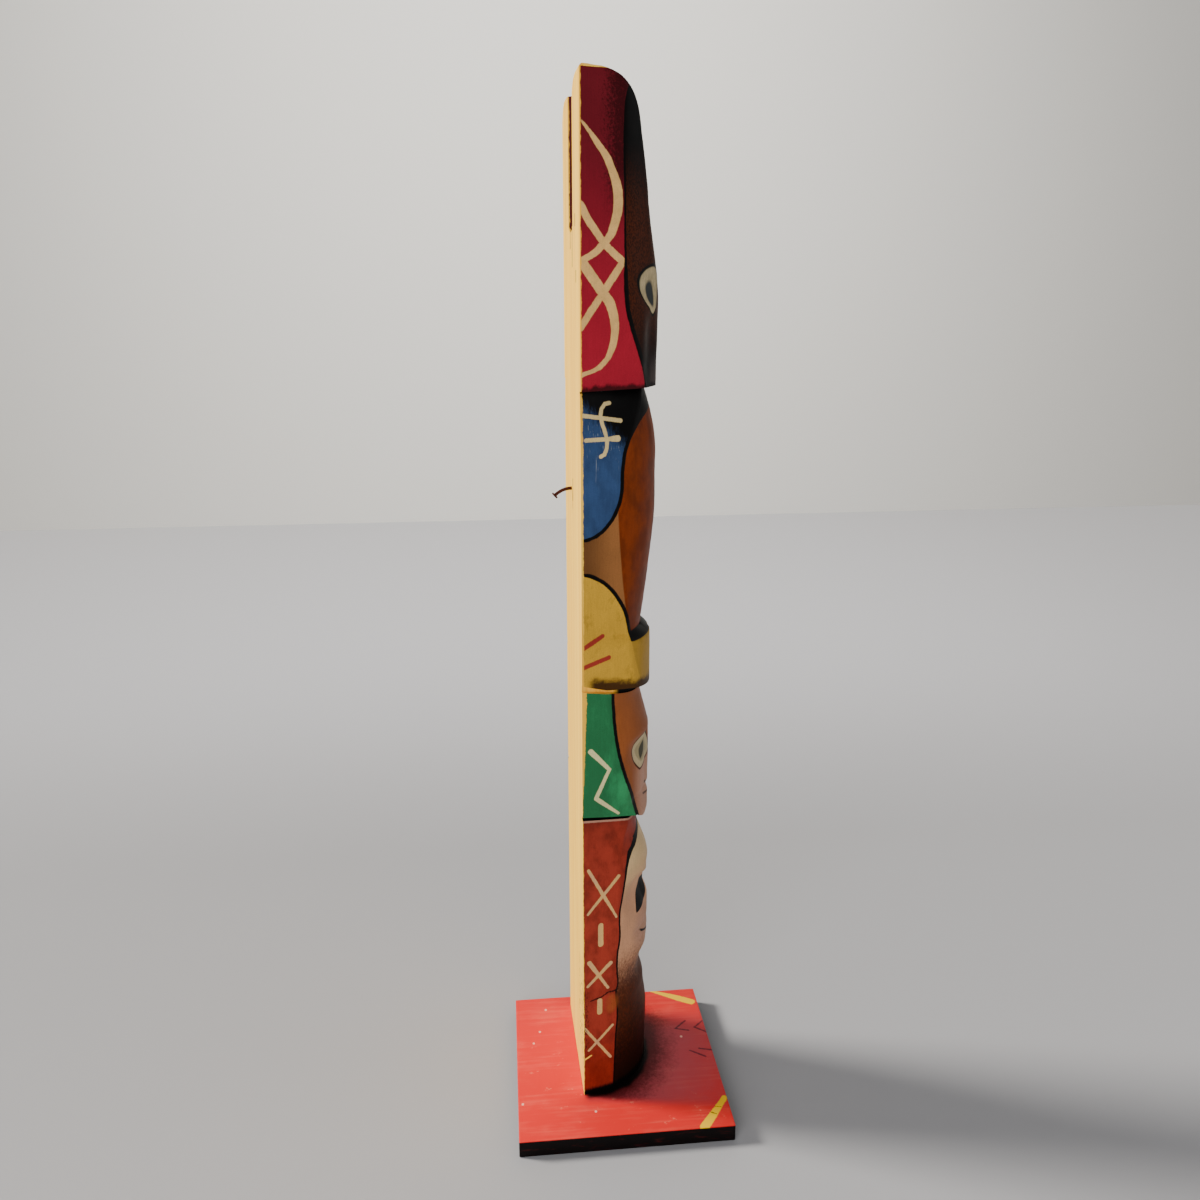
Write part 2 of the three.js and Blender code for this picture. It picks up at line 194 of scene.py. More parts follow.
class TotemNailSizes(bpy.types.PropertyGroup):
    """Sizes and colours of the bent nail."""

    across: length("Place", "How far the nail is from the log's middle", 0.009)
    height: length("Height", "Height at which the nail enters the wood", 0.5918)
    radius: length("Shank radius", "Radius of the shank", 0.00145)
    head: length("Head radius", "Radius of the head", 0.0031)
    head_thickness: length("Head thickness", "Thickness of the head", 0.0013)
    inside: length("Length inside", "How far the nail goes into the wood", 0.012)
    bend: angle("Bend", "Angle that the nail is bent down by", 43.6)
    bend_radius: length("Bend radius", "Radius of the bend", 0.021)
    rust: colour("Rust", "Colour of the rusty iron", (0.075, 0.018, 0.012))
    crust: colour("Crust", "Lighter crust on the rust", (0.2, 0.06, 0.02))


class TotemStageSizes(bpy.types.PropertyGroup):
    """The camera, floor and lamps."""

    floor: length("Floor", "Side of the floor", 14.0)
    wall_side: length("Wall side", "Side of the square wall, half of it under the floor", 6.0)
    wall: length("Wall", "Distance of the wall from the pole", 2.6)
    camera: place_of("Camera", "Place of the camera", (-0.88473, 0.10754, 0.76532))
    yaw: angle("Yaw", "Turn of the camera from +X", -5.911)
    pitch: angle("Pitch", "Tilt of the camera", -16.743)
    lens: number("Lens", "Focal length on a 36 mm sensor, in millimetres", 31.92)
    floor_colour: colour("Floor colour", "Colour of the floor", (0.36, 0.36, 0.38))
    wall_colour: colour("Wall colour", "Colour of the wall", (0.88, 0.86, 0.80))
    sky: colour("Room colour", "Colour of the light from all round", (0.86, 0.88, 0.90))
    sky_strength: number("Room light", "Strength of the light from all round", 0.22)


# ---------------------------------------------------------------- helpers for modelling
def start_clean():
    """Object mode, with nothing selected."""
    if bpy.context.object and bpy.context.object.mode != "OBJECT":
        bpy.ops.object.mode_set(mode="OBJECT")
    bpy.ops.object.select_all(action="DESELECT")


def select_faces(obj, chosen):
    """In edit mode: selects the faces for which chosen(face) holds, and nothing else."""
    bpy.ops.mesh.select_all(action="DESELECT")
    bpy.ops.object.mode_set(mode="OBJECT")
    for face in obj.data.polygons:
        face.select = chosen(face)
    bpy.ops.object.mode_set(mode="EDIT")
    bpy.ops.mesh.select_mode(type="FACE")


def select_edges(obj, chosen):
    """In edit mode: selects the edges for which chosen(first, second) holds, and nothing else."""
    bpy.ops.mesh.select_mode(type="EDGE")
    bpy.ops.mesh.select_all(action="DESELECT")
    bpy.ops.object.mode_set(mode="OBJECT")
    points = obj.data.vertices
    for edge in obj.data.edges:
        edge.select = chosen(points[edge.vertices[0]].co, points[edge.vertices[1]].co)
    bpy.ops.object.mode_set(mode="EDIT")


def finish_piece(obj, name, node, degrees=35):
    """Names the piece, smooths it, and sets it in place of its solid."""
    start_clean()
    obj.name = name
    obj.data.name = name
    obj.select_set(True)
    bpy.context.view_layer.objects.active = obj
    bpy.ops.object.transform_apply(location=True, rotation=True, scale=True)
    bpy.ops.object.shade_smooth_by_angle(angle=math.radians(degrees))
    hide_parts(node)
    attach(obj, "root")


# ---------------------------------------------------------------- the shape of the carving, in mm
# Depths are measured from the flat back, and side angles are 0 at the back and 90 at the front.
# A section is (half width, depth, angle at which the planed side facet ends).
TOP = POLE_HIGH.z / MM
GROUND = POLE_LOW.z / MM
EARS = Group(
    half_width=67, foot=681.5, foot_depth=70.6, nose=770, nose_depth=68.8, depth=72,
    crease=752, crease_depth=72.5, temple=834, temple_depth=56.4, temple_pull=58.4, temple_drop=30,
    shoulder=877, shoulder_depth=49.5, crown_pull=45.5, crown_depth=8,
)
BODY = Group(
    half_width=66, top=679.8, neck_half_width=61.5, neck_depth=60, chest=627, belly=579, depth=70.6,
    waist=474, waist_depth=58.6, taper=1.2,
)
FEET = Group(top=475, rise=474.5, lip=467, low=466, depth=68, wider=0.6)
GREEN = Group(half_width=66.2, depth=67.8, brow=378, crown=413, crown_depth=58.4, chin=8, jaw=285, cheek=296)
LOWER_HALF_WIDTH = 67
LOWER_PROFILE = [
    (17, 68), (77, 68.6), (108, 65.5), (128, 60.8), (139, 62.3), (153, 67.9), (163, 68.9),
    (196, 68.9), (212, 64), (244, 68.7), (253, 67.5), (282.5, 57), (330, 57),
]

# Where the planed side facet ends: at a middle angle that opens out from one height to another.
FACETS = {
    "ears": (29.8, 26, 765, 681, 1.55),
    "chest": (29, 36, 620, 679, 1.6),
    "belly": (27, 20, 577, 474, 1.2),
    "feet": (39, 8, 466, 425, 1),
    "green": (22, 25.5, 423, 304, 1.5),
    "lower": (31, 19, 240, 290, 2),
    "lower_foot": (0, -7, 200, 16, 1),
}

# Cuts into the surface: how deep, at which side angle and how wide, at which height and how tall.
MUZZLE_GROOVE = Group(depth=4, angle=62, spread=17, start=672, full=703, fade=722, end=745)
EAR_EYE = Group(depth=2.4, angle=56, spread=22, height=757, tall=26)
TOE_CLEFT = Group(depth=3.2, angle=90, spread=5, start=471, full=465)
BELLY_FURROW = Group(depth=1.2, angle=90, spread=9, height=560, tall=75)
GREEN_EYE = Group(depth=2.4, angle=55, spread=20, height=362, tall=24)
GREEN_FACE = Group(nose=3, flank=76, temple=34, top=376, brow=366, tip=300, nostril=312, mouth=313)
LOWER_FACE = Group(nose=3.6, flank=74, temple=36, top=236, brow=226, tip=186, nostril=200, mouth=176)
FACE = Group(ridge=84, cheek=52, mouth_end=42, mouth_depth=1.7, mouth_half=5)

EAR_TIPS = Group(
    near_end=-51, slot_near=-13, slot_far=27, far_shoulder=39, far_side=67.5,
    near_drop=11, near_power=4, far_drop=7.9, far_round=20, far_power=2.6,
)
TIP_FOOT = 860  # where the trimming of the ear tips starts
TIP_SOFTNESS = 2  # how softly the ears' profile meets the log's front
TIP_REACH = 12  # how deep under the profile that softness reaches
TIP_CROWDING = 1.25  # how much closer the rows are near the tips
BACK_WEAR = Group(drop=1.6, start=895, end=914)
HAND_CUT = Group(edge=2, half_width=67, depth=70, broad=23, broad_up=31, small=9, small_up=7, apart=50)
CUTTER = Group(
    depth=200, height=150, cuts_across=11, cuts_along=24, ahead=40,
    corners=4.5, chips=2.6, chip_across=3.1, chip_along=40, chip_seed=7,
)


def facet(name, z):
    middle, opens, start, end, power = FACETS[name]
    return middle + opens * ramp(z, start, end) ** power


def hollow(cut, angle, z):
    """How deep a rounded hollow is at a side angle and a height."""
    return cut.depth * bump(angle, cut.angle, cut.spread) * bump(z, cut.height, cut.tall)


def face_cut(face, angle, z):
    """What is cut away on both sides of a nose and along the mouth."""
    beside = ramp(angle, FACE.ridge, face.flank) * ramp(angle, face.temple, FACE.cheek)
    nose = beside * swell(ramp(z, face.top, face.brow)) * swell(ramp(z, face.tip, face.nostril))
    mouth = ramp(angle, FACE.mouth_end, FACE.cheek) * bump(z, face.mouth, FACE.mouth_half)
    return face.nose * nose + FACE.mouth_depth * mouth


def ears_section(z):
    depth = lerp(EARS.foot_depth, EARS.depth, ramp(z, EARS.foot, EARS.nose))
    return EARS.half_width, depth, facet("ears", z)


def ears_profile(z):
    """How deep the ears are at a height, as seen from the side."""
    if z >= EARS.shoulder:
        share = math.sqrt(max(0.0, TOP - z) / (TOP - EARS.shoulder))
        return arc(share, EARS.crown_depth, EARS.crown_pull, EARS.shoulder_depth)
    if z >= EARS.temple:
        return lerp(EARS.temple_depth, EARS.shoulder_depth, ramp(z, EARS.temple, EARS.shoulder))
    if z >= EARS.nose:
        fall = 2 * EARS.temple_drop
        bend = EARS.temple - EARS.nose - fall
        share = (math.sqrt(fall**2 + 4 * bend * (EARS.temple - z)) - fall) / (2 * bend)
        return arc(share, EARS.temple_depth, EARS.temple_pull, EARS.nose_depth)
    return lerp(EARS.crease_depth, EARS.nose_depth, ramp(z, EARS.crease, EARS.nose))


def ears_carving(angle, z):
    groove = MUZZLE_GROOVE
    along = swell(ramp(z, groove.start, groove.full)) * swell(ramp(z, groove.end, groove.fade))
    return groove.depth * bump(angle, groove.angle, groove.spread) * along + hollow(EAR_EYE, angle, z)


def body_section(z):
    if z > BODY.belly:
        swelling = swell(ramp(z, BODY.top, BODY.chest))
        half_width = lerp(BODY.neck_half_width, BODY.half_width, swelling)
        return half_width, lerp(BODY.neck_depth, BODY.depth, swelling), facet("chest", z)
    belly = lerp(BODY.depth, BODY.waist_depth, ramp(z, BODY.belly, BODY.waist) ** BODY.taper)
    feet = lerp(BODY.waist_depth, FEET.depth, math.sqrt(ramp(z, FEET.rise, FEET.lip)))
    half_width = BODY.half_width + FEET.wider * ramp(z, FEET.top, FEET.low)
    edge = lerp(facet("belly", z), facet("feet", z), ramp(z, FEET.top, FEET.lip))
    return half_width, max(belly, feet), edge


def body_carving(angle, z):
    cleft = bump(angle, TOE_CLEFT.angle, TOE_CLEFT.spread) * ramp(z, TOE_CLEFT.start, TOE_CLEFT.full)
    return TOE_CLEFT.depth * cleft + hollow(BELLY_FURROW, angle, z)


def green_section(z):
    forehead = lerp(GREEN.depth, GREEN.crown_depth, ramp(z, GREEN.brow, GREEN.crown))
    chin = GREEN.chin * (1 - swell(ramp(z, GREEN.jaw, GREEN.cheek)))
    return GREEN.half_width, forehead - chin, facet("green", z)


def green_carving(angle, z):
    return face_cut(GREEN_FACE, angle, z) + hollow(GREEN_EYE, angle, z)


def lower_section(z):
    for (z0, depth0), (z1, depth1) in zip(LOWER_PROFILE, LOWER_PROFILE[1:]):
        if z <= z1:
            break
    depth = lerp(depth0, depth1, ease(ramp(z, z0, z1)))
    return LOWER_HALF_WIDTH, depth, facet("lower", z) + facet("lower_foot", z)


def lower_carving(angle, z):
    return face_cut(LOWER_FACE, angle, z)


def uncut(angle, z):
    return 0.0


def around(column, section, cut, z):
    """The place (across, depth) of one column round the log, at a height."""
    half_width, depth, edge = section
    if column > LAST_CARVED:
        return lerp(half_width, -half_width, (column - LAST_CARVED) / BACK_COLUMNS), 0.0
    from_side = min(column, LAST_CARVED - column)
    if from_side <= FACET_COLUMNS:
        share = from_side / FACET_COLUMNS
        turn = edge * share
        across = lerp(half_width, half_width * math.cos(math.radians(edge)), share)
        out = lerp(0, depth * math.sin(math.radians(edge)), share)
    else:
        turn = lerp(edge, 90, (from_side - FACET_COLUMNS) / (FRONT_COLUMNS / 2))
        across = half_width * math.cos(math.radians(turn))
        out = depth * math.sin(math.radians(turn))
    gone = cut(turn, z)
    across -= gone * math.cos(math.radians(turn))
    out -= gone * math.sin(math.radians(turn))
    return (-across if column < LAST_CARVED / 2 else across), max(out, 0.0)


def height_at(line, depth):
    """The height of a line of (depth, height) at a depth."""
    for (depth0, z0), (depth1, z1) in zip(line, line[1:]):
        if depth <= depth1:
            break
    return lerp(z0, z1, (depth - depth0) / (depth1 - depth0))


class Joint:
    """The gap between two figures: the upper one's foot, the lower one's head, and the waist inside.

    A foot or head is a line of (depth, height), and the waist is a section."""

    def __init__(self, over, under, waist):
        self.over = over
        self.under = under
        self.waist = waist

    def spot(self, column, share):
        """The (across, depth, height) of a column, on the lower figure at share 0 and the upper one at 1."""
        x, depth = around(column, self.waist, uncut, 0)
        return x, depth, height_at(self.over if share else self.under, depth)


class Figure:
    """One carved figure of the pole: its paint, how many rows it has, and its shape from foot to head."""

    HEIGHT_PASSES = 4

    def __init__(self, paint, rows, section, carving, foot, head, profile=None):
        self.paint = paint
        self.rows = rows
        self.section = section
        self.carving = carving
        self.foot = foot
        self.head = head
        self.profile = profile

    def spot(self, column, share):
        """The (across, depth, height) of a column, at a share of the way up."""
        z = lerp(self.foot[0][1], self.head[0][1], share)
        for _ in range(self.HEIGHT_PASSES):
            x, depth = around(column, self.section(z), self.carving, z)
            z = lerp(height_at(self.foot, depth), height_at(self.head, depth), share)
        if self.profile and column <= LAST_CARVED:
            limit = self.profile(z)
            if depth > limit - TIP_REACH:
                both = math.exp(-depth / TIP_SOFTNESS) + math.exp(-limit / TIP_SOFTNESS)
                depth = -TIP_SOFTNESS * math.log(both)
        return x, depth, z


JOINTS = [
    Joint([(0, 312), (52, 299.5), (68, 285)], [(0, 309.2), (50, 295), (57, 281.5)], (61.5, 56.5, 46)),
    Joint(
        [(0, 436), (23, 427.6), (50, 424.4), (68, 419.5)],
        [(0, 430), (28, 425), (58.4, 416)],
        (63.6, 57.6, 34),
    ),
    Joint([(0, 681.5), (72, 681.5)], [(0, 679.8), (60, 679.8)], (60.5, 58.5, 60)),
]
FLOOR_LINE = [(0, GROUND), (72, GROUND)]
TOP_LINE = [(0, TOP), (72, TOP)]
FIGURES = [
    Figure("lower", 133, lower_section, lower_carving, FLOOR_LINE, JOINTS[0].under),
    Figure("green", 53, green_section, green_carving, JOINTS[0].over, JOINTS[1].under),
    Figure("body", 105, body_section, body_carving, JOINTS[1].over, JOINTS[2].under),
    Figure("ears", 104, ears_section, ears_carving, JOINTS[2].over, TOP_LINE, ears_profile),
]
PAINTS = ["lower", "green", "body", "ears", "waist", "back", "end"]


def ear_tip(x):
    """The outline that the ear tips are trimmed to: how high they are at a place across the log."""
    tips = EAR_TIPS
    if x < tips.slot_near:
        return TOP - tips.near_drop * ramp(x, tips.near_end, tips.slot_near) ** tips.near_power
    far_top = TOP - tips.far_drop
    if x < tips.slot_far:
        return lerp(TOP - tips.near_drop, far_top, ramp(x, tips.slot_near, tips.slot_far))
    rounding = 1 - ramp(x, tips.far_shoulder, tips.far_side) ** tips.far_power
    return far_top - tips.far_round * (1 - math.sqrt(max(0.0, rounding)))


def pole_rows():
    """Every row of the log from the foot up: (figure or joint, share, paint)."""
    rows = []
    for figure, joint in zip(FIGURES, [*JOINTS, None]):
        for i in range(figure.rows):
            share = i / (figure.rows - 1)
            if figure.profile:
                share = 1 - (1 - share) ** TIP_CROWDING
            rows.append((figure, share, figure.paint))
        if joint:
            rows += [(joint, 0, "waist"), (joint, 1, "waist")]
    return rows


def hand_cut(x, depth, z, amount):
    """Moves a point a little, as a knife and a spokeshave leave it."""
    if depth < HAND_CUT.edge:
        return x, depth
    cut = HAND_CUT
    broad = noise.noise(Vector((x / cut.broad, depth / cut.broad, z / cut.broad_up)))
    small = noise.noise(Vector((x / cut.small, depth / cut.small, z / cut.small_up + cut.apart)))
    wander = amount * (broad + small / 2)
    out_x, out_depth = x / cut.half_width, depth / cut.depth
    reach = math.hypot(out_x, out_depth)
    return x + wander * out_x / reach, depth + wander * out_depth / reach


def face_paint(face, spot, rows):
    """The name of a face's paint, from where its corners are on the log."""
    if len(face.vertices) > 4:
        return "end" if face.center.z > 1 else "waist"
    low = min(spot[v][0] for v in face.vertices)
    columns = [spot[v][1] for v in face.vertices]
    if min(columns) >= LAST_CARVED or (0 in columns and max(columns) > LAST_CARVED):
        return "back"
    paint = rows[low][2]
    return paint if paint == rows[low + 1][2] else "waist"


def model_pole(sizes):
    """The log: a cylinder divided into rows, flattened at the back and carved figure by figure."""
    start_clean()
    rows = pole_rows()
    count = ROWS_STEP * ROWS_STEP
    if len(rows) != count + 1:
        raise RuntimeError(f"the figures have {len(rows)} rows and need {count + 1}")
    bpy.ops.mesh.primitive_cylinder_add(vertices=COLUMNS, radius=1, depth=count, location=(0, 0, count / 2))
    pole = bpy.context.object
    bpy.ops.object.transform_apply(location=True, rotation=True, scale=True)
    bpy.ops.object.mode_set(mode="EDIT")
    for _ in range(2):
        select_edges(pole, lambda a, b: abs(a.z - b.z) > 0.5)
        bpy.ops.mesh.subdivide(number_cuts=ROWS_STEP - 1)
    bpy.ops.object.mode_set(mode="OBJECT")

    for key in PAINTS:
        pole.data.materials.append(bpy.data.materials.new("pole_" + key))
    step = 2 * math.pi / COLUMNS
    spot = {}
    for point in pole.data.vertices:
        turn = math.atan2(point.co.x, point.co.y)
        spot[point.index] = (round(point.co.z), round(turn / step) % COLUMNS)
    for face in pole.data.polygons:
        face.material_index = PAINTS.index(face_paint(face, spot, rows))
    for point in pole.data.vertices:
        row, column = spot[point.index]
        form, share, _ = rows[row]
        x, depth, z = form.spot(column, share)
        if isinstance(form, Figure) and column <= LAST_CARVED:
            x, depth = hand_cut(x, depth, z, sizes.unevenness / MM)
        if z > TIP_FOOT:
            z = TIP_FOOT + (z - TIP_FOOT) * (ear_tip(x) - TIP_FOOT) / (TOP - TIP_FOOT)
        if column >= LAST_CARVED or column == 0:
            z -= BACK_WEAR.drop * ramp(z, BACK_WEAR.start, BACK_WEAR.end)
        point.co = TO_WORLD @ Vector((x, POLE_BACK - depth, z))
    return pole


def cut_ear_slot(pole, sizes):
    """The slot between the ears, with the ragged foot that a chisel leaves."""
    start_clean()
    width = sizes.ear_slot / MM
    foot = sizes.slot_foot / MM
    bpy.ops.mesh.primitive_cube_add(size=1, location=(0, 0, 0))
    cutter = bpy.context.object
    cutter.dimensions = (width, CUTTER.depth, CUTTER.height)
    bpy.ops.object.transform_apply(location=True, rotation=True, scale=True)
    bpy.ops.object.mode_set(mode="EDIT")
    select_edges(cutter, lambda a, b: abs(a.x - b.x) > 1 and a.z < 0)
    bpy.ops.mesh.subdivide(number_cuts=CUTTER.cuts_across)
    select_edges(cutter, lambda a, b: abs(a.y - b.y) > 1 and a.z < 0)
    bpy.ops.mesh.subdivide(number_cuts=CUTTER.cuts_along)
    bpy.ops.object.mode_set(mode="OBJECT")
    for point in cutter.data.vertices:
        x, y = point.co.x, point.co.y
        z = foot + CUTTER.height
        if point.co.z < 0:
            chip = noise.noise(Vector((x / CUTTER.chip_across, y / CUTTER.chip_along, CUTTER.chip_seed)))
            rise = 1 - math.cos(x / width * math.pi)
            z = foot + CUTTER.corners * rise + CUTTER.chips * chip
        point.co = TO_WORLD @ Vector((x + sizes.slot_centre / MM, POLE_BACK + y - CUTTER.ahead, z))
    cutter.data.materials.append(pole.data.materials[PAINTS.index("ears")])
    modifier = pole.modifiers.new("slot", "BOOLEAN")
    modifier.operation = "DIFFERENCE"
    modifier.solver = "EXACT"
    modifier.object = cutter
    start_clean()
    pole.select_set(True)
    bpy.context.view_layer.objects.active = pole
    bpy.ops.object.modifier_apply(modifier="slot")
    bpy.data.objects.remove(cutter)


# ---------------------------------------------------------------- helpers for paint
class Value:
    """A number on a shader socket. Arithmetic on it adds Math nodes."""

    def __init__(self, finish, socket):
        self.finish = finish
        self.socket = socket

    def math(self, operation, *others, **settings):
        values = dict(enumerate((self, *others)))
        return self.finish.value("ShaderNodeMath", {"operation": operation, **settings}, values)

    def __add__(self, other):
        return self.math("ADD", other)

    __radd__ = __add__

    def __sub__(self, other):
        return self.math("SUBTRACT", other)

    def __rsub__(self, other):
        return self.finish.value("ShaderNodeMath", {"operation": "SUBTRACT"}, {0: other, 1: self})

    def __mul__(self, other):
        return self.math("MULTIPLY", other)

    __rmul__ = __mul__

    def __truediv__(self, other):
        return self.math("DIVIDE", other)

    def __abs__(self):
        return self.math("ABSOLUTE")

    def __pow__(self, power):
        return self.math("POWER", power)

    def least(self, other):
        return self.math("MINIMUM", other)

    def most(self, other):
        return self.math("MAXIMUM", other)

    def clamp(self):
        return self.math("MULTIPLY", 1.0, use_clamp=True)

    def step(self, low, high):
        """0 below low, 1 above high, smooth between. With low over high it falls."""
        if low > high:
            return 1 - self.step(high, low)
        smooth = {"interpolation_type": "SMOOTHSTEP"}
        values = {"Value": self, "From Min": low, "From Max": high, "To Min": 0.0, "To Max": 1.0}
        return self.finish.value("ShaderNodeMapRange", smooth, values, "Result")

    def crisp(self):
        """1 where the number, in mm, is over 0, and 0 where it is under, with a narrow soft edge."""
        return self.step(-0.3, 0.3)


class Finish:
    """A painted or bare finish: its material, the nodes that make it, and the colour laid so far."""

    def __init__(self, material):
        self.material = material
        material.use_nodes = True
        self.tree = material.node_tree
        self.tree.nodes.clear()
        self.skin = self.node("ShaderNodeBsdfPrincipled")
        self.node("ShaderNodeOutputMaterial", None, {"Surface": self.skin.outputs[0]})
        self.object_coordinates = self.node("ShaderNodeTexCoord").outputs["Object"]

    def node(self, kind, settings=None, values=None):
        """Any node: its settings are set first, then its sockets get their values or links."""
        made = self.tree.nodes.new(kind)
        for name, setting in (settings or {}).items():
            if name == "curve":
                points = made.mapping.curves[0].points
                while len(points) < len(setting):
                    points.new(0.5, 0.5)
                for point, place in zip(points, setting):
                    point.location = place
                made.mapping.update()
            else:
                setattr(made, name, setting)
        for key, value in (values or {}).items():
            target = made.inputs[key]
            if isinstance(value, Value):
                value = value.socket
            if isinstance(value, bpy.types.NodeSocket):
                self.tree.links.new(value, target)
            else:
                target.default_value = (*value, 1) if target.type == "RGBA" and len(value) == 3 else value
        return made

    def value(self, kind, settings, values, output=0):
        return Value(self, self.node(kind, settings, values).outputs[output])

    def vector(self, operation, values, output="Vector"):
        """The result of a Vector Math node."""
        return self.node("ShaderNodeVectorMath", {"operation": operation}, values).outputs[output]

    def axes(self):
        """The three numbers of the place, and the fine noise that roughens brush lines there."""
        self.fine = self.noise((1.5, 1.5, 5), (8, 1, 2), 2)
        made = self.node("ShaderNodeSeparateXYZ", None, {0: self.place})
        return [Value(self, made.outputs[i]) for i in range(3)]

    def own(self):
        """(x, y, z) in mm in the object's own frame."""
        self.place = self.vector("SCALE", {0: self.object_coordinates, "Scale": 1 / MM})
        return self.axes()

    def local(self):
        """(across, depth from the back, height) in mm, in the pole's own frame."""
        placing = {
            "Vector": self.object_coordinates,
            "Location": (POLE_X * MM, 0, 0),
            "Rotation": (0, 0, POLE_TURN),
            "Scale": (MM, MM, MM),
        }
        self.place = self.node("ShaderNodeMapping", {"vector_type": "TEXTURE"}, placing).outputs[0]
        x, y, z = self.axes()
        return x, POLE_BACK - y, z

    def point(self, across, up):
        """A flat point (across, up, 0) for drawing strokes."""
        return self.node("ShaderNodeCombineXYZ", None, {0: across, 1: up, 2: 0.0}).outputs[0]

    def noise(self, scale, offset=(0, 0, 0), detail=3.0, roughness=0.6):
        """Noise from 0 to 1, with a size in mm, or one along each axis."""
        scale = scale if isinstance(scale, tuple) else (scale,) * 3
        placing = {"Vector": self.place, "Location": offset, "Scale": tuple(1 / s for s in scale)}
        seen = self.node("ShaderNodeMapping", None, placing).outputs[0]
        values = {"Vector": seen, "Scale": 1.0, "Detail": detail, "Roughness": roughness}
        return self.value("ShaderNodeTexNoise", None, values)

    def mix(self, share, first, second):
        """A colour that goes from first to second."""
        return self.node("ShaderNodeMix", {"data_type": "RGBA"}, {0: share, 6: first, 7: second}).outputs[2]

    def shade(self, tone, factor):
        """A colour made lighter or darker by a number."""
        return self.vector("SCALE", {0: tone, "Scale": factor})

    def toned(self, share, tone, factor):
        """A colour that goes from itself to a lighter or darker shade."""
        return self.mix(share, tone, self.shade(tone, factor))

    def lay(self, share, tone):
        """Lays a colour over what is there."""
        self.tone = self.mix(share, self.tone, tone)

    def line(self, away, half, rag=1.0, soft=0.3):
        """1 on a brush line, where away is under half, in mm, and 0 beside it, with a ragged edge."""
        return (half - away + (self.fine - 0.5) * rag).step(-soft, soft)

    def ink(self, tone, strength, *line):
        """Draws a brush line in a colour."""
        self.lay(self.line(*line) * strength, tone)

    def along(self, height, points):
        """A smooth line through points (height, value), read at a height."""
        low, high = points[0][0], points[-1][0]
        top = max(v for _, v in points) + 1
        curve = [((z - low) / (high - low), v / top) for z, v in points]
        share = (height - low) / (high - low)
        return self.value("ShaderNodeFloatCurve", {"curve": curve}, {"Value": share}) * top

    def beside(self, across, height, points):
        """The distance in mm from a smooth line through points (height, across)."""
        here = self.along(height, points)
        ahead = self.along(height + 0.8, points)
        slope = (ahead - here) / 0.8
        return abs(across - here) / (slope * slope + 1) ** 0.5

    def to_segment(self, point, start, end):
        """The distance in mm from a flat point to the stroke from start to end."""
        run = Vector((end[0] - start[0], end[1] - start[1], 0))
        reach = run / run.length_squared
        away = self.vector("SUBTRACT", {0: point, 1: (*start, 0)})
        share = Value(self, self.vector("DOT_PRODUCT", {0: away, 1: tuple(reach)}, "Value")).clamp()
        foot = self.vector("SCALE", {0: tuple(run), "Scale": share})
        return Value(self, self.vector("DISTANCE", {0: away, 1: foot}, "Value"))

    def to_stroke(self, point, *lines):
        """The distance in mm from a flat point to the nearest of several broken lines."""
        nearest = None
        for line in lines:
            for start, end in zip(line, line[1:]):
                away = self.to_segment(point, start, end)
                nearest = nearest.least(away) if nearest else away
        return nearest

    def bare_wood(self, colours, z):
        """Planed softwood with its grain running up the log."""
        streak = self.noise((2.2, 2.2, 160), detail=4)
        broad = self.noise((14, 14, 420), (5, 1, 9), 2, 0.5)
        lines = self.noise((0.9, 0.9, 90), (3, 7, 2), 2, 0.5)
        tone = self.mix((streak * 0.6 + broad * 0.5).step(0.40, 0.72), colours.wood, colours.wood_dark)
        tone = self.mix(lines.step(0.55, 0.72) * 0.5, tone, colours.wood_dark)
        return self.shade(tone, z.step(150, 750) * 0.14 + 0.88)

    def coat(self, rough, height, strength=0.35, distance=0.0004):
        """Sets the finish: the colour laid, satin gloss and relief."""
        values = {"Strength": strength, "Distance": distance, "Height": height}
        relief = self.node("ShaderNodeBump", None, values)
        self.tree.links.new(self.tone, self.skin.inputs["Base Color"])
        self.tree.links.new(rough.socket, self.skin.inputs["Roughness"])
        self.tree.links.new(relief.outputs[0], self.skin.inputs["Normal"])
        self.skin.inputs["Specular IOR Level"].default_value = 0.1


def turned(across, up, centre, degrees):
    """A place as seen from a centre, on axes turned by an angle."""
    c, s = math.cos(math.radians(degrees)), math.sin(math.radians(degrees))
    u, v = across - centre[0], up - centre[1]
    return u * c + v * s, v * c - u * s


def oval(out, up, half_out, half_up):
    """1 on an oval's outline, less inside and more outside."""
    return ((out / half_out) ** 2 + (up / half_up) ** 2) ** 0.5


def leaf(out, up, half_out, half_up, power):
    """1 on the outline of a pointed oval, less inside and more outside."""
    return abs(out / half_out) ** power + abs(up / half_up) ** power


# ---------------------------------------------------------------- the paint, in mm
# Lines on the side of the log are (height, depth) when they are read at a height, and strokes are
# (depth, height). Widths are (height, half width), and mouths are (across, height).
UPPER_LOOP = [(775, -8), (779, 1), (791, 18), (805, 27), (824, 30), (845, 24.5), (864, 12), (876, 2)]
UPPER_LOOP_WIDTH = [(779, 2.4), (800, 3.1), (822, 3.8), (845, 3.0), (864, 2.0), (877, 0.6)]
LOWER_LOOP = [
    (690, -10), (694, 0), (703, 19), (712, 25), (727, 28), (742, 26), (757, 17), (779, 1), (783, -2),
]
LOWER_LOOP_WIDTH = [(694, 1.7), (705, 2.2), (727, 3.2), (757, 3.9), (779, 3.8)]
LOOP_CROSS = [(0.5, 819), (8, 806), (19.5, 791), (34, 778.5)], [(34, 778.5), (19, 757), (0, 730)]
FIRST_FACE = [
    (680, 57), (688, 56), (709, 49.5), (730, 42), (747.5, 37.5), (773, 36), (823, 35), (886, 35),
    (896, 36.5), (903, 39.5), (910, 52), (915, 60),
]
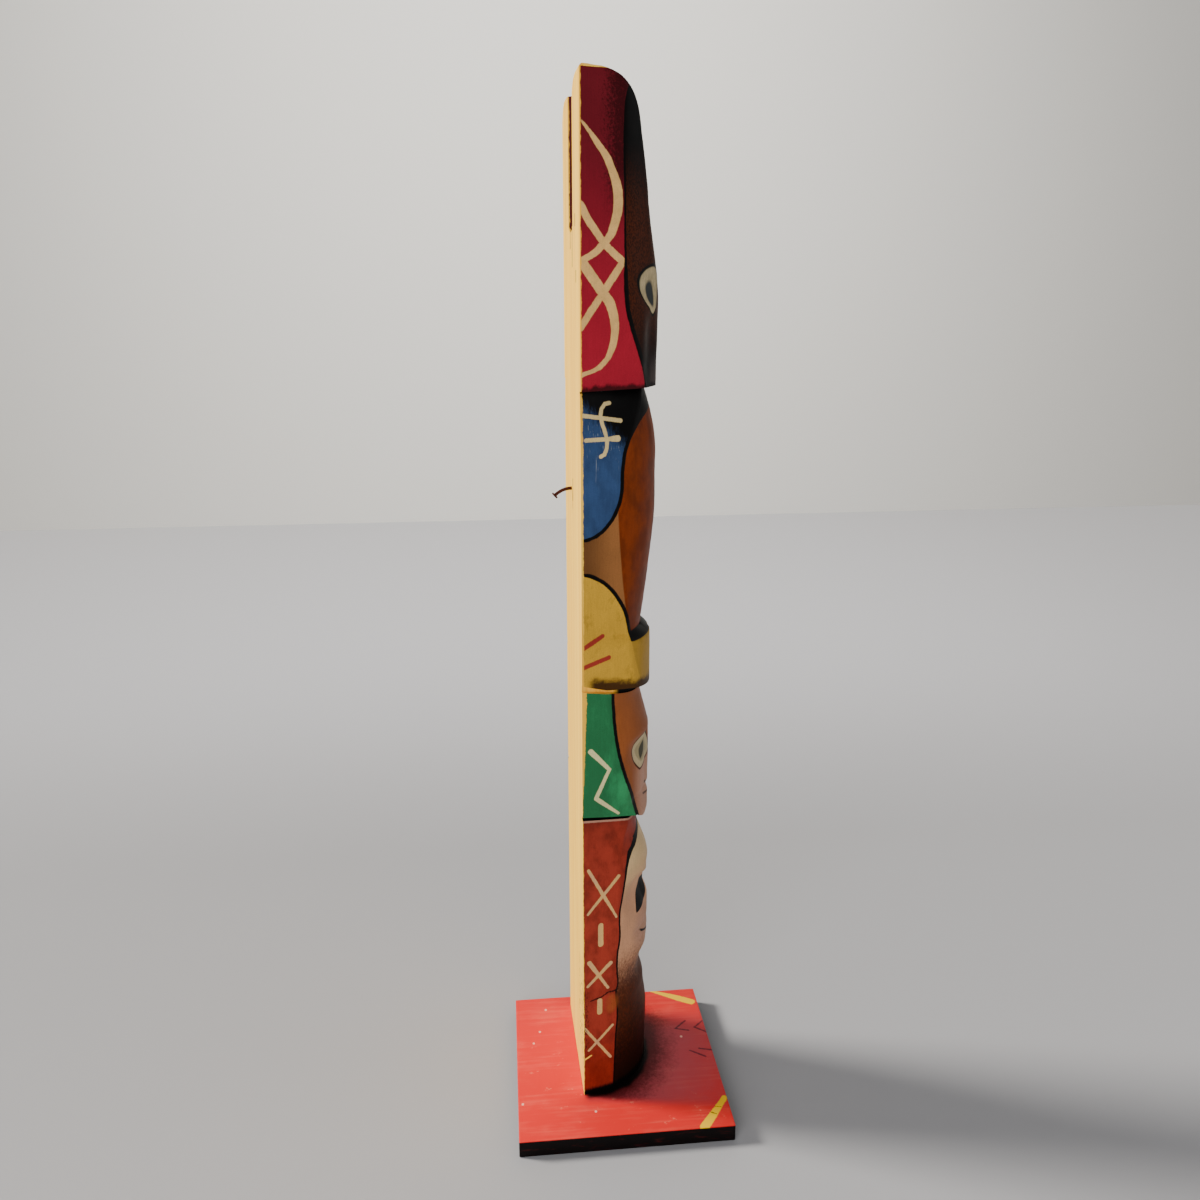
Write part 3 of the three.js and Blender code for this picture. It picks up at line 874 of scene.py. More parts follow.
FIRST_FACE_WIDTH = [(680, 1.8), (765, 1.8), (785, 0.9), (870, 0.9), (915, 1.4)]

WING = [
    (561.5, 0), (563, 6), (566, 14), (574.5, 23.5), (585, 30), (598, 34), (618, 35), (635.5, 38),
    (652, 47), (664.5, 60), (674, 71),
]
THIGH = [
    (417, 64), (424, 50.5), (450, 48), (468, 46), (477, 43.5), (494, 39.5), (505, 34.5), (520, 24),
    (529, 12.5), (534, 0),
]
CREASE = [(440, 51), (470, 44), (507, 38), (543, 34), (577, 31.5), (620, 30)]
SIGN_STEM = [
    (25, 671), (21, 670.5), (18, 667), (17, 662), (18, 656), (20.5, 649), (22, 642.5), (21.5, 636),
    (19.5, 631.5), (16.5, 630),
]
SIGN_BARS = [(1, 663), (34, 657)], [(4.5, 643.5), (31, 643.5)]
RED_DASHES = [(0.5, 469), (18.5, 477)], [(0.5, 452), (24, 458)]

THIRD_FACE = [(282, 58), (301.5, 52), (324.5, 46), (348, 38.5), (377.5, 31.5), (411.5, 28), (430, 27.5)]
ZIGZAG = [(7.5, 374.5), (24.5, 354), (12.5, 328), (34, 307)]
ZIGZAG_WIDTH = [(304, 0.9), (310, 1.3), (328, 2.0), (352, 1.7), (375, 2.4), (380, 2.4)]
THIRD_MOUTH = [(0, 306), (10, 306.5), (20, 309)]
GREEN_EDGE = [(280, 0), (312, 0), (370, 2.5), (430, 4.2)]

FOURTH_FACE = [
    (16, 29), (44, 30), (73, 31), (103, 33), (123, 31.5), (132, 33.5), (145, 32.5), (162, 32.5),
    (184, 35), (203, 34.5), (223, 37.5), (241, 40), (252, 41.5), (263, 44.5), (269, 50), (274, 54),
    (280, 59), (310, 61),
]
FOURTH_FACE_WIDTH = [
    (16, 0.6), (120, 0.8), (200, 0.9), (240, 1.0), (256, 1.5), (266, 2.6), (278, 3.0), (292, 1.6),
    (310, 1.0),
]
CROSSES = (
    [(5, 259), (31.5, 205)], [(33.5, 247), (4.5, 214)],
    [(5.5, 163), (23.5, 131)], [(26, 157.5), (4, 137.5)],
    [(1, 92), (26, 54)], [(28, 89), (5, 67)],
)
CROSS_WIDTH = [(50, 1.3), (75, 1.3), (131, 1.3), (150, 1.7), (162, 2.1), (205, 1.1), (230, 1.6), (262, 1.3)]
CROSS_DASHES = [(16.5, 199.5), (16.5, 180)], [(15.5, 119), (15.5, 106.5)]
FOURTH_MOUTH = [(0, 163), (14, 164), (26, 168), (36, 174)]
SIDE_CRACK = [(7, 121), (17, 122.5), (24, 126), (33, 125.5)]

# Cracks in the flat back: (across, upper end, lower end), seen narrowed to make them thin.
BACK_CRACKS = [(-31, 814, 806), (-9, 804, 776), (6, 803, 790), (0, 601, 583), (-36, 772, 764)]
NARROWED = 0.4

# Strokes on the board are (x, y).
POLE_FOOT = [
    (-46, 34), (-42, 12), (-33, -5), (-20, -17), (-3, -27), (20, -31), (43, -27), (62, -15), (76, 3),
    (83, 22), (86, 34),
]
FAR_BAND = [(101, -49), (78, -91)]
NEAR_BAND = [(-64.5, -97), (-99, -71)]
BAND_SCRATCHES = [(-84, -85), (-80, -78)], [(-76, -91), (-74, -84)]
CHEVRONS = (
    [(48, -79), (37, -67), (33, -80)], [(46, -97), (37, -87), (26, -102)],
    [(3, -76), (-7, -90)], [(5, -86), (1, -100), (-6, -104)],
)
DOTS = [(80, 66), (46, 74), (29, 81), (-54, 95), (-70, 27), (24, -71)]
DOT_LENGTH = 0.6


def worn_paint(finish, colours, depth, z, gap, wear=None):
    """Puts what is painted on bare wood: it stops short of the back edge and is thin in places."""
    wood = finish.bare_wood(colours, z)
    ragged = finish.noise((6, 6, 9), (9, 3, 1))
    flake = finish.noise((1.6, 1.6, 2.4), (1, 8, 4), 2)
    covered = (depth - gap - (ragged - 0.5) * 2.4 - (flake - 0.5) * 1.2).step(-0.25, 0.35)
    if wear is not None:
        covered = covered * (1 - (wear + (ragged - 0.5) * 0.5 + (flake - 0.5) * 0.7).step(0.45, 0.6))
    brushed = finish.noise((1.1, 1.1, 26), (2, 5, 8))
    cloud = finish.noise(28, (4, 4, 4), 3, 0.55)
    grit = finish.noise(0.9, (1, 5, 5), 2, 0.7)
    finish.tone = finish.shade(finish.tone, brushed * 0.30 + cloud * 0.28 + grit * 0.5 + 0.46)
    finish.lay(finish.noise(1.1, (7, 7, 7), 1, 0.5).step(0.72, 0.78) * 0.35, colours.black)
    finish.tone = finish.mix(covered, wood, finish.tone)
    grain = finish.noise((0.8, 0.8, 40), (6, 2, 3), 2)
    finish.coat(covered * -0.22 + 0.72 + (cloud - 0.5) * 0.2, covered * 0.35 + brushed * 0.3 + grain * 0.25)


def bare_coat(finish, groove=0):
    """Sets the finish of bare wood, with its grain standing out."""
    grain = finish.noise((0.8, 0.8, 60), (6, 2, 3))
    finish.coat(grain * 0.1 + 0.66, grain - groove, 0.3, 0.0003)


def paint_ears(finish, colours):
    """Red ears with cream loops, and the dark first face in front of a black line."""
    x, depth, z = finish.local()
    side = finish.point(depth, z)
    wobble = finish.noise(9, (3, 1, 7), 2)
    finish.tone = finish.mix(z.step(690, 890), colours.red, colours.red_dark)
    spots = finish.noise(2, (5, 1, 3), 2, 0.8)
    # dark speckles on the red, towards the front and high on the ears
    dark_speckles = (depth.step(4, 34) * 0.9 + (spots - 0.5) * 1.4).step(0.35, 0.9) * z.step(795, 850)
    finish.lay(dark_speckles * 0.8, finish.shade(colours.red_dark, 0.15))
    swing = (wobble - 0.5) * 1.1
    upper = finish.line(finish.beside(depth, z, UPPER_LOOP), finish.along(z, UPPER_LOOP_WIDTH) + swing, 0.8)
    lower = finish.line(finish.beside(depth, z, LOWER_LOOP), finish.along(z, LOWER_LOOP_WIDTH) + swing, 0.8)
    cross = finish.line(finish.to_stroke(side, *LOOP_CROSS), swing + 2.8, 0.8)
    loops = (upper * z.step(776, 778) * z.step(878, 875)).most(cross).most(lower * z.step(782, 780))
    finish.lay(loops, finish.shade(colours.cream, wobble * 0.5 + 0.75))
    # the face: brown, with black at its top and foot that is partly black paint and partly painted shade
    # where it turns from the light, and a grey painted highlight near the front edge at its foot
    limit = finish.along(z, FIRST_FACE)
    mottled = finish.noise((1.3, 1.3, 1.8), (2, 2, 2), 2).step(0.35, 0.65) * 0.9 + 0.5
    brown = finish.shade(colours.muzzle, mottled)
    face = finish.mix(z.step(690, 750) * z.step(868, 800), finish.shade(colours.black, 1.2), brown)
    # grey painted highlight near the front edge at the foot of the face
    face = finish.mix(z.step(712, 690) * (depth - 58).step(0, 6) * 0.6, face, colours.muzzle_highlight)
    finish.lay((depth - limit).step(-0.3, 0.5), face)
    finish.ink(colours.black, 1, abs(depth - limit - 0.4), finish.along(z, FIRST_FACE_WIDTH))
    # the upper eyes, egg-shaped and ringed in black
    wide, high = turned(abs(x), z, (33, 757), -18)
    wide = wide / (high * 0.03 + 1)
    lid = oval(wide, high, 12, 18.5)
    finish.lay(lid.step(1.16, 1.1), colours.black)
    mottled = (finish.fine * 0.5 + wobble * 0.5).step(0.4, 0.6)
    finish.lay(lid.step(1.03, 0.95), finish.toned(mottled, colours.pale, 0.8))
    finish.lay(oval(wide - 1.5, high + 2, 5.5, 11).step(1.15, 0.75), colours.pupil)
    # the slot's walls: red paint darkened with painted shade
    finish.lay(abs(x - SLOT.centre).step(16.6, 16.1) * z.step(798, 800), colours.slot_red_shaded)
    # a black band along the foot of the ears: partly black paint and partly painted shade at the joint
    foot = z + (wobble - 0.5) * 7 + (finish.fine - 0.5) * 2
    finish.lay(foot.step(687, 683) * 0.85, colours.black)
    worn_paint(finish, colours, depth, z, 0.9, z.step(911.5, 913.3))


def paint_body(finish, colours):
    """The blue wing, the brown belly and the yellow haunches."""
    _, depth, z = finish.local()
    side = finish.point(depth, z)
    wing = finish.along(z, WING)
    thigh = finish.along(z, THIGH)
    crease = finish.along(z, CREASE)
    cloud = finish.noise((11, 11, 18), (5, 5, 2))
    # brown belly, darker near the back edge and deeper in front of the planed side: partly its paint, partly
    # painted shade where the front turns from the light
    finish.tone = finish.shade(colours.brown, depth.step(4, 30) * 0.65 + 0.6)
    deep = finish.toned(cloud.step(0.35, 0.65), colours.belly, 0.65)
    finish.lay((depth - crease).step(-0.5, 0.8), deep)
    # blue wing with dry pale scratches and a black shoulder, partly black paint and partly painted shadow
    # cast by the ears
    scratch = finish.noise((0.9, 0.9, 30), (8, 3, 2), 3, 0.65).step(0.60, 0.70) * z.step(600, 625) * 0.4
    blue = finish.toned(cloud.step(0.3, 0.7), colours.blue, 0.75)
    cap_and_shadow_rag = finish.noise((2, 2, 14), (3, 3, 9), 3, 0.7)
    dark = (z + depth * 0.95 + (cap_and_shadow_rag - 0.5) * 24).step(664, 681).most(z.step(671, 676) * 0.8)
    blue = finish.mix(dark, finish.mix(scratch, blue, colours.scratch), colours.black)
    finish.lay((wing - depth).crisp() * z.step(560, 562), blue)
    # black band under the ears: black paint and painted shadow under their overhang
    finish.lay(z.step(674, 679), colours.black)
    # yellow haunches and feet
    dirt = finish.noise((9, 9, 12), (5, 1, 6), 4, 0.65)
    yellow = finish.toned(dirt.step(0.52, 0.72) * 0.5, colours.yellow, 0.45)
    shadow = (depth - crease - 0.5).step(-0.5, 0.8) * 0.45
    yellow = finish.mix(shadow, yellow, finish.shade(colours.yellow, 0.5))
    haunch = (thigh - depth).crisp() * z.step(534.5, 533)
    finish.lay(haunch.most(z.step(470.5, 469.5)), yellow)
    finish.lay(z.step(467.4, 468.4) * z.step(477, 475.5) * (depth - thigh).step(0, 1.2), colours.black)
    by_wing = finish.beside(depth, z, WING) + z.step(561, 559) * 9
    by_thigh = finish.beside(depth, z, THIGH) + z.step(469, 466) * 9 + z.step(534, 536) * 9
    finish.ink(colours.black, 1, by_wing.least(by_thigh), 1.6, 0.8)
    # the pale sign: a bent stem crossed by two bars that flare
    flare = depth.step(22, 31) * z.step(650, 645) * 0.9
    stem = finish.to_stroke(side, SIGN_STEM) - 1.55
    bars = finish.to_stroke(side, *SIGN_BARS) - 1.6 - flare
    pale = finish.shade(finish.mix(0.5, colours.straw, colours.cream), cloud * 0.5 + 0.75)
    finish.ink(pale, 1, stem.least(bars), 0, 0.8)
    finish.ink(colours.dash, 1, finish.to_stroke(side, *RED_DASHES), 2.1, 0.9)
    # a dark band at the foot, partly worn paint and partly painted shade along the lower edge
    band = finish.noise((7, 7, 4), (5, 2, 2))
    low = (z + depth * 0.22 + (band - 0.5) * 9).step(446, 438.5) * depth.step(3, 12)
    finish.lay(low * 0.95, finish.shade(colours.bark, 0.35))
    worn_paint(finish, colours, depth, z, 1.8)


def paint_green(finish, colours):
    """The green third figure with its tan face and leaf-shaped eyes."""
    x, depth, z = finish.local()
    across = abs(x)
    light = finish.noise((16, 16, 26), (1, 2, 1))
    lit = (light * 0.8 + depth.step(8, 40) * z.step(400, 330) * 0.25).step(0.42, 0.78)
    finish.tone = finish.toned(lit, colours.green, 2.0)
    blush = (depth.step(46, 60) * z.step(362, 335)).most(z.step(308, 292) * 0.8)
    face = finish.mix(blush * 0.95, finish.shade(colours.tan, light * 0.5 + 0.75), colours.cheek)
    finish.lay((depth - finish.along(z, THIRD_FACE)).crisp(), face)
    finish.ink(colours.black, 1, finish.beside(depth, z, THIRD_FACE), 1.5)
    zigzag = finish.to_stroke(finish.point(depth, z), ZIGZAG)
    finish.ink(colours.straw, 1, zigzag, finish.along(z, ZIGZAG_WIDTH), 0.8)
    out, up = turned(across, z, (24.5, 356), 22.5)
    eye = leaf(out, up, 18, 16.5, 1.35)
    finish.lay(eye.step(1.22, 1.12), finish.shade(colours.bark, 0.8))
    finish.lay(eye.step(1.05, 0.97), colours.pale)
    finish.lay(leaf(out, up, 12, 11, 1.35).step(1.1, 0.9) * 0.45, colours.olive)
    finish.lay(leaf(out - 1, up, 5, 9, 1.4).step(1.15, 0.7), colours.olive_dark)
    nostril = oval(*turned(across, z, (13.5, 318), 23), 3.0, 1.5)
    finish.lay(nostril.step(1.2, 0.8) * 0.8, colours.black)
    lips = finish.beside(z, across, THIRD_MOUTH)
    finish.ink(finish.shade(colours.bark, 0.5), across.step(22, 19) * 0.8, lips, 0.95, 1, 0.35)
    worn_paint(finish, colours, depth, z, finish.along(z, GREEN_EDGE))


def paint_lower(finish, colours):
    """The earth-red lowest figure, with crosses on its sides and a long pale face."""
    x, depth, z = finish.local()
    side = finish.point(depth, z)
    across = abs(x)
    limit = finish.along(z, FOURTH_FACE)
    speck = finish.noise((2.2, 2.2, 3), (4, 1, 8), 3, 0.7)
    cloud = finish.noise((14, 14, 20), (1, 2, 6))
    # the face, pale at the top, rosy at the cheek, darker near its outline as painted shade, and dark brown
    # under the chin
    skin = finish.toned((depth - limit).step(14, 0) * 0.5, colours.skin, 0.65)
    skin = finish.mix(oval(depth - 60, z - 178, 12, 22).step(1.2, 0.4) * 0.8, skin, colours.cheek)
    skin = finish.mix(z.step(212, 262), skin, colours.brow)
    dark = finish.toned(z.step(140, 45), colours.bark, 0.15)
    dark = finish.mix(speck.step(0.45, 0.6) * z.step(25, 110) * 0.6, dark, colours.bark_fleck)
    face = finish.mix((z + (speck - 0.5) * 60 + (cloud - 0.5) * 20).step(118, 176), dark, skin)
    # the red of the sides, darker at the top and near the foot
    finish.tone = finish.toned(cloud.step(0.35, 0.7), colours.earth, 0.6)
    finish.lay(z.step(290, 308) * 0.6, finish.shade(colours.earth, 0.35))
    finish.lay(z.step(110, 30) * 0.5, colours.earth_dark)
    finish.lay((depth - limit).crisp(), face)
    outline = finish.beside(depth, z, FOURTH_FACE)
    finish.ink(colours.black, 1, outline, finish.along(z, FOURTH_FACE_WIDTH), 0.9)
    crosses = finish.to_stroke(side, *CROSSES) - finish.along(z, CROSS_WIDTH)
    dashes = finish.to_stroke(side, *CROSS_DASHES) - 2.5
    pale = finish.mix(cloud.step(0.4, 0.65) * 0.5, colours.cream, colours.cheek)
    finish.ink(pale, 1, crosses.least(dashes), 0, 0.9)
    # the slanting eyes, pointed towards the nose, and the mouth
    out, up = turned(across, z, (22, 205), -35)
    finish.lay(leaf(out, up, 19, 10.5 - out * 0.22, 1.6).step(1.06, 0.94), colours.black)
    ends = across.step(37, 34) * (depth - limit).step(3, 5)
    finish.ink(colours.black, ends, finish.beside(z, across, FOURTH_MOUTH), 1.15, 1, 0.35)
    # a crack across the side, rubbed orange below it, and a chip
    rubbed = oval(depth - 27, z - 113, 8, 12).step(1.1, 0.5)
    finish.lay(rubbed * cloud.step(0.35, 0.6) * 0.6, colours.rubbed)
    finish.ink(colours.black, 0.9, finish.to_stroke(side, SIDE_CRACK), 0.75, 1.6, 0.45)
    finish.ink(colours.wood, 1, finish.to_stroke(side, [(0, 57), (7, 60.5)]), 0.85, 1, 0.25)
    # tan upper edge, partly worn paint and partly painted highlight; the black foot, partly black paint and
    # partly painted contact shadow; and nicks along the back edge
    edge = z + depth * 0.284 + (finish.fine - 0.5) * 1.2
    finish.lay(edge.step(306.8, 307.6) * 0.8, colours.cheek)
    finish.lay((z + (finish.fine - 0.5) * 3).step(26, 21), colours.black)
    nicks = finish.noise((1.6, 1.6, 3.4), (3, 9, 4), 3, 0.7).step(0.50, 0.60)
    nicks = nicks * z.step(152, 120) * z.step(58, 72) * depth.step(7, 1)
    finish.lay(nicks * 0.9, colours.black)
    worn_paint(finish, colours, depth, z, 0.5)


def paint_waist(finish, colours):
    """The narrow places between the figures: bare wood over the third one, black above and below, partly
    black paint and partly painted shade in the narrow gaps.
    """
    _, depth, z = finish.local()
    bare = z.step(340, 350) * z.step(500, 490) * depth.step(34, 27)
    finish.tone = finish.mix(bare, colours.black, finish.bare_wood(colours, z))
    bare_coat(finish)


def paint_end(finish, colours):
    """The sawn top: bare wood."""
    _, _, z = finish.local()
    finish.tone = finish.bare_wood(colours, z)
    bare_coat(finish)


def paint_back(finish, colours):
    """The flat back: bare wood with cracks under the slot, a split at the nail and dirt near the foot."""
    x, _, z = finish.local()
    finish.tone = finish.bare_wood(colours, z)
    finish.fine = finish.noise((1.2, 1.2, 18), (8, 1, 2), 3, 0.7)
    strokes = [[(at * NARROWED, upper), (at * NARROWED, lower)] for at, upper, lower in BACK_CRACKS]
    crack = finish.line(finish.to_stroke(finish.point(x * NARROWED, z), *strokes), 0.8, 2.4, 0.5)
    finish.lay(crack * 0.8, finish.shade(colours.wood_dark, 0.12))
    dirt = finish.noise((6, 6, 5), (3, 9, 4), 3, 0.7).step(0.54, 0.62)
    dirt = dirt * z.step(165, 130) * z.step(40, 60) * x.step(-22, -34)
    finish.lay(dirt * 0.85, finish.shade(colours.wood_dark, 0.15))
    bare_coat(finish, crack * 2)


def paint_board(finish, board):
    """The red board with two yellow corner bands, thin chevrons, and dirt and a painted shadow round the
    foot of the pole.
    """
    x, y, z = finish.own()
    flat = finish.point(x, y)
    finish.fine = finish.noise(3, (2, 7, 1))
    streak = finish.noise((3.5, 70, 20), (1, 1, 1))
    cloud = finish.noise((24, 40, 30), (5, 5, 1), 3, 0.55)
    finish.tone = finish.mix((streak * 0.45 + cloud * 0.55).step(0.45, 0.75) * 0.5, board.red, board.scuff)
    rubs = finish.noise((9, 16, 9), (6, 6, 1), 4, 0.7).step(0.62, 0.74)
    finish.lay(rubs * (x * -0.006 + y * 0.002 + 0.5).clamp() * 0.5, board.rub)
    # dirt, black paint and a painted cast shadow in front of the foot of the pole, with a painted contact
    # shadow right at it
    foot = finish.to_stroke(flat, POLE_FOOT)
    smear_and_shadow_rag = finish.noise(14, (3, 5, 1)) - 0.5
    grain = finish.noise(3, (7, 3, 1), 2, 0.8) - 0.5
    front = y.step(37, 30) * (x - y * 0.17).step(-66, -50)
    grime_and_cast_shadow = (foot - smear_and_shadow_rag * 30 - grain * 12).step(130, 20) * front * x.step(75, 30)
    # purple grime with the pole's cast shadow painted in, bounded where that shadow ends
    finish.lay(grime_and_cast_shadow * 0.7, board.grime_and_cast_shadow)
    # near-black dirt close to the foot, with a painted contact shadow
    dirt_and_contact_shadow = (foot - smear_and_shadow_rag * 14 - grain * 24).step(40, 6) * front
    finish.lay(dirt_and_contact_shadow * 0.85, finish.shade(board.red, 0.05))
    reach = x.step(30, -30) * 4 + 2.5
    # black paint along the foot, with a painted contact shadow
    finish.lay((foot - reach - smear_and_shadow_rag * 4 - (finish.fine - 0.5) * 2).step(3, -2) * front, board.edge)
    # the corner bands, the chevrons and small chips
    far = finish.line(finish.to_stroke(flat, FAR_BAND), y.step(-46, -84) * 2.8 + 1.5, -1.6, 0.4)
    near = finish.line(finish.to_stroke(flat, NEAR_BAND), x.step(-66, -98) * 1.6 + 2.8, -1.6, 0.4)
    scratches = finish.line(finish.to_stroke(flat, *BAND_SCRATCHES), 0.55, 2, 0.35)
    finish.lay(far.most(near), finish.mix(scratches * 0.8, board.band, board.band_scratch))
    finish.ink(board.scribble, 0.85, finish.to_stroke(flat, *CHEVRONS), 0.9, 1.6, 0.6)
    dots = [[(across, up), (across + DOT_LENGTH, up)] for across, up in DOTS]
    finish.ink(board.dot, 0.75, finish.to_stroke(flat, *dots), 1.1, -1.2, 0.5)
    showing = finish.noise((20, 20, 3), (2, 2, 2)).step(0.56, 0.7) * 0.5
    finish.lay(z.step(16.6, 16.1), finish.mix(showing, board.edge, board.edge_red))
    finish.coat(cloud * 0.2 + 0.45, streak * 0.5 + finish.fine * 0.4, 0.25, 0.0003)


def paint_nail(finish, nail):
    """Rusty iron, pitted and crusted."""
    finish.own()
    pits = finish.noise(0.8)
    finish.tone = finish.mix(pits.step(0.4, 0.7), finish.shade(nail.rust, 0.4), nail.rust)
    finish.lay(finish.noise(2.5, (4, 1, 1), 2).step(0.55, 0.7) * 0.5, nail.crust)
    finish.skin.inputs["Metallic"].default_value = 0.35
    finish.coat(pits * 0.3 + 0.5, pits, 0.6, 0.0002)


PAINTERS = {
    "lower": paint_lower,
    "green": paint_green,
    "body": paint_body,
    "ears": paint_ears,
    "waist": paint_waist,
    "back": paint_back,
    "end": paint_end,
}


# ---------------------------------------------------------------- operators
class TOTEM_OT_pole(bpy.types.Operator):
    """Model and paint the carved pole"""

    bl_idname = "totem.pole"
    bl_label = "Carved pole"

    def execute(self, context):
        sizes = context.scene.totem_pole
        colours = context.scene.totem_paint
        pole = model_pole(sizes)
        cut_ear_slot(pole, sizes)
        for key, slot in zip(PAINTS, pole.material_slots):
            PAINTERS[key](Finish(slot.material), colours)
        finish_piece(pole, "carved_pole", "totem_pole")
        return {"FINISHED"}


class TOTEM_OT_board(bpy.types.Operator):
    """Model and paint the board"""

    bl_idname = "totem.board"
    bl_label = "Painted board"

    def execute(self, context):
        sizes = context.scene.totem_board
        start_clean()
        scale = (sizes.side, sizes.side, sizes.thickness)
        bpy.ops.mesh.primitive_cube_add(size=1, location=(0, 0, sizes.thickness / 2), scale=scale)
        board = bpy.context.object
        bpy.ops.object.transform_apply(location=True, rotation=True, scale=True)
        bpy.ops.object.mode_set(mode="EDIT")
        select_faces(board, lambda face: face.normal.x > 0.9)
        bpy.ops.transform.resize(value=(1, sizes.far_side / sizes.side, 1))
        bpy.ops.mesh.select_all(action="SELECT")
        bpy.ops.mesh.bevel(offset=sizes.arris, segments=3, affect="EDGES", clamp_overlap=True)
        bpy.ops.object.mode_set(mode="OBJECT")
        board.data.materials.append(bpy.data.materials.new("board_paint"))
        paint_board(Finish(board.data.materials[0]), sizes)
        finish_piece(board, "painted_board", "base_board")
        return {"FINISHED"}


class TOTEM_OT_nail(bpy.types.Operator):
    """Model the bent rusty nail"""

    bl_idname = "totem.nail"
    bl_label = "Bent nail"

    def execute(self, context):
        sizes = context.scene.totem_nail
        start_clean()
        entry = TO_WORLD @ Vector((sizes.across / MM, POLE_BACK, sizes.height / MM))
        outward = (TO_WORLD.to_3x3() @ Vector((0, 1, 0))).normalized()
        across = (TO_WORLD.to_3x3() @ Vector((1, 0, 0))).normalized()
        start = entry - outward * sizes.inside
        upright = (math.radians(90), 0, POLE_TURN)
        bpy.ops.mesh.primitive_circle_add(
            vertices=20, radius=sizes.radius, fill_type="NGON", location=start, rotation=upright
        )
        nail = bpy.context.object
        bpy.ops.object.transform_apply(location=True, rotation=True, scale=True)
        bpy.ops.object.mode_set(mode="EDIT")
        bpy.ops.mesh.select_all(action="SELECT")
        bpy.ops.mesh.extrude_region_move(TRANSFORM_OT_translate={"value": outward * sizes.inside})
        centre = entry - Vector((0, 0, sizes.bend_radius))
        bpy.ops.mesh.spin(steps=12, angle=sizes.bend, center=centre, axis=across)
        heading = Matrix.Rotation(-sizes.bend, 3, across) @ outward
        wide = sizes.head / sizes.radius
        bpy.ops.mesh.extrude_region_move(TRANSFORM_OT_translate={"value": (0, 0, 0)})
        bpy.ops.transform.resize(value=(wide, wide, wide))
        bpy.ops.mesh.extrude_region_move(TRANSFORM_OT_translate={"value": heading * sizes.head_thickness})
        bpy.ops.mesh.inset(thickness=sizes.head * 0.25, depth=sizes.head_thickness * 0.15)
        bpy.ops.mesh.select_all(action="SELECT")
        bpy.ops.mesh.remove_doubles(threshold=1e-6)
        bpy.ops.mesh.normals_make_consistent(inside=False)
        bpy.ops.object.mode_set(mode="OBJECT")
        nail.data.materials.append(bpy.data.materials.new("nail_rust"))
        paint_nail(Finish(nail.data.materials[0]), sizes)
        finish_piece(nail, "bent_nail", "nail", 50)
        return {"FINISHED"}


SUNLIGHT = (1.0, 0.95, 0.86)
LAMPLIGHT = (1.0, 0.98, 0.96)
# Every lamp: name, kind, place, target, side in metres or angle of a sun, power and colour.
LAMPS = [
    ("key", "SUN", (0.26, 0.85, 0.55), (0, 0, 0), 0.22, 6.0, SUNLIGHT),
    ("side", "AREA", (-1.8, 0.9, 0.8), (0, 0, 0.45), 1.4, 36, LAMPLIGHT),
    ("front", "AREA", (-0.3, -2.2, 1.2), (0, 0, 0.45), 1.4, 8, LAMPLIGHT),
    ("backdrop", "AREA", (1.3, 0, 1.7), (2.6, 0, 1.05), 2.4, 45, LAMPLIGHT),
]
UNDER_BOARD = -0.0002  # height of the floor, just under the board
FARTHEST = 50  # how far the camera sees, in metres


def lamp(name, kind, place, target, size, power, tone):
    """A soft lamp that the camera doesn't see."""
    light = bpy.data.lights.new(name, kind)
    setattr(light, "angle" if kind == "SUN" else "size", size)
    light.energy = power
    light.color = tone
    made = bpy.data.objects.new(name, light)
    made.visible_camera = False
    bpy.context.scene.collection.objects.link(made)
    made.location = place
    made.rotation_euler = (Vector(target) - Vector(place)).to_track_quat("-Z", "Y").to_euler()


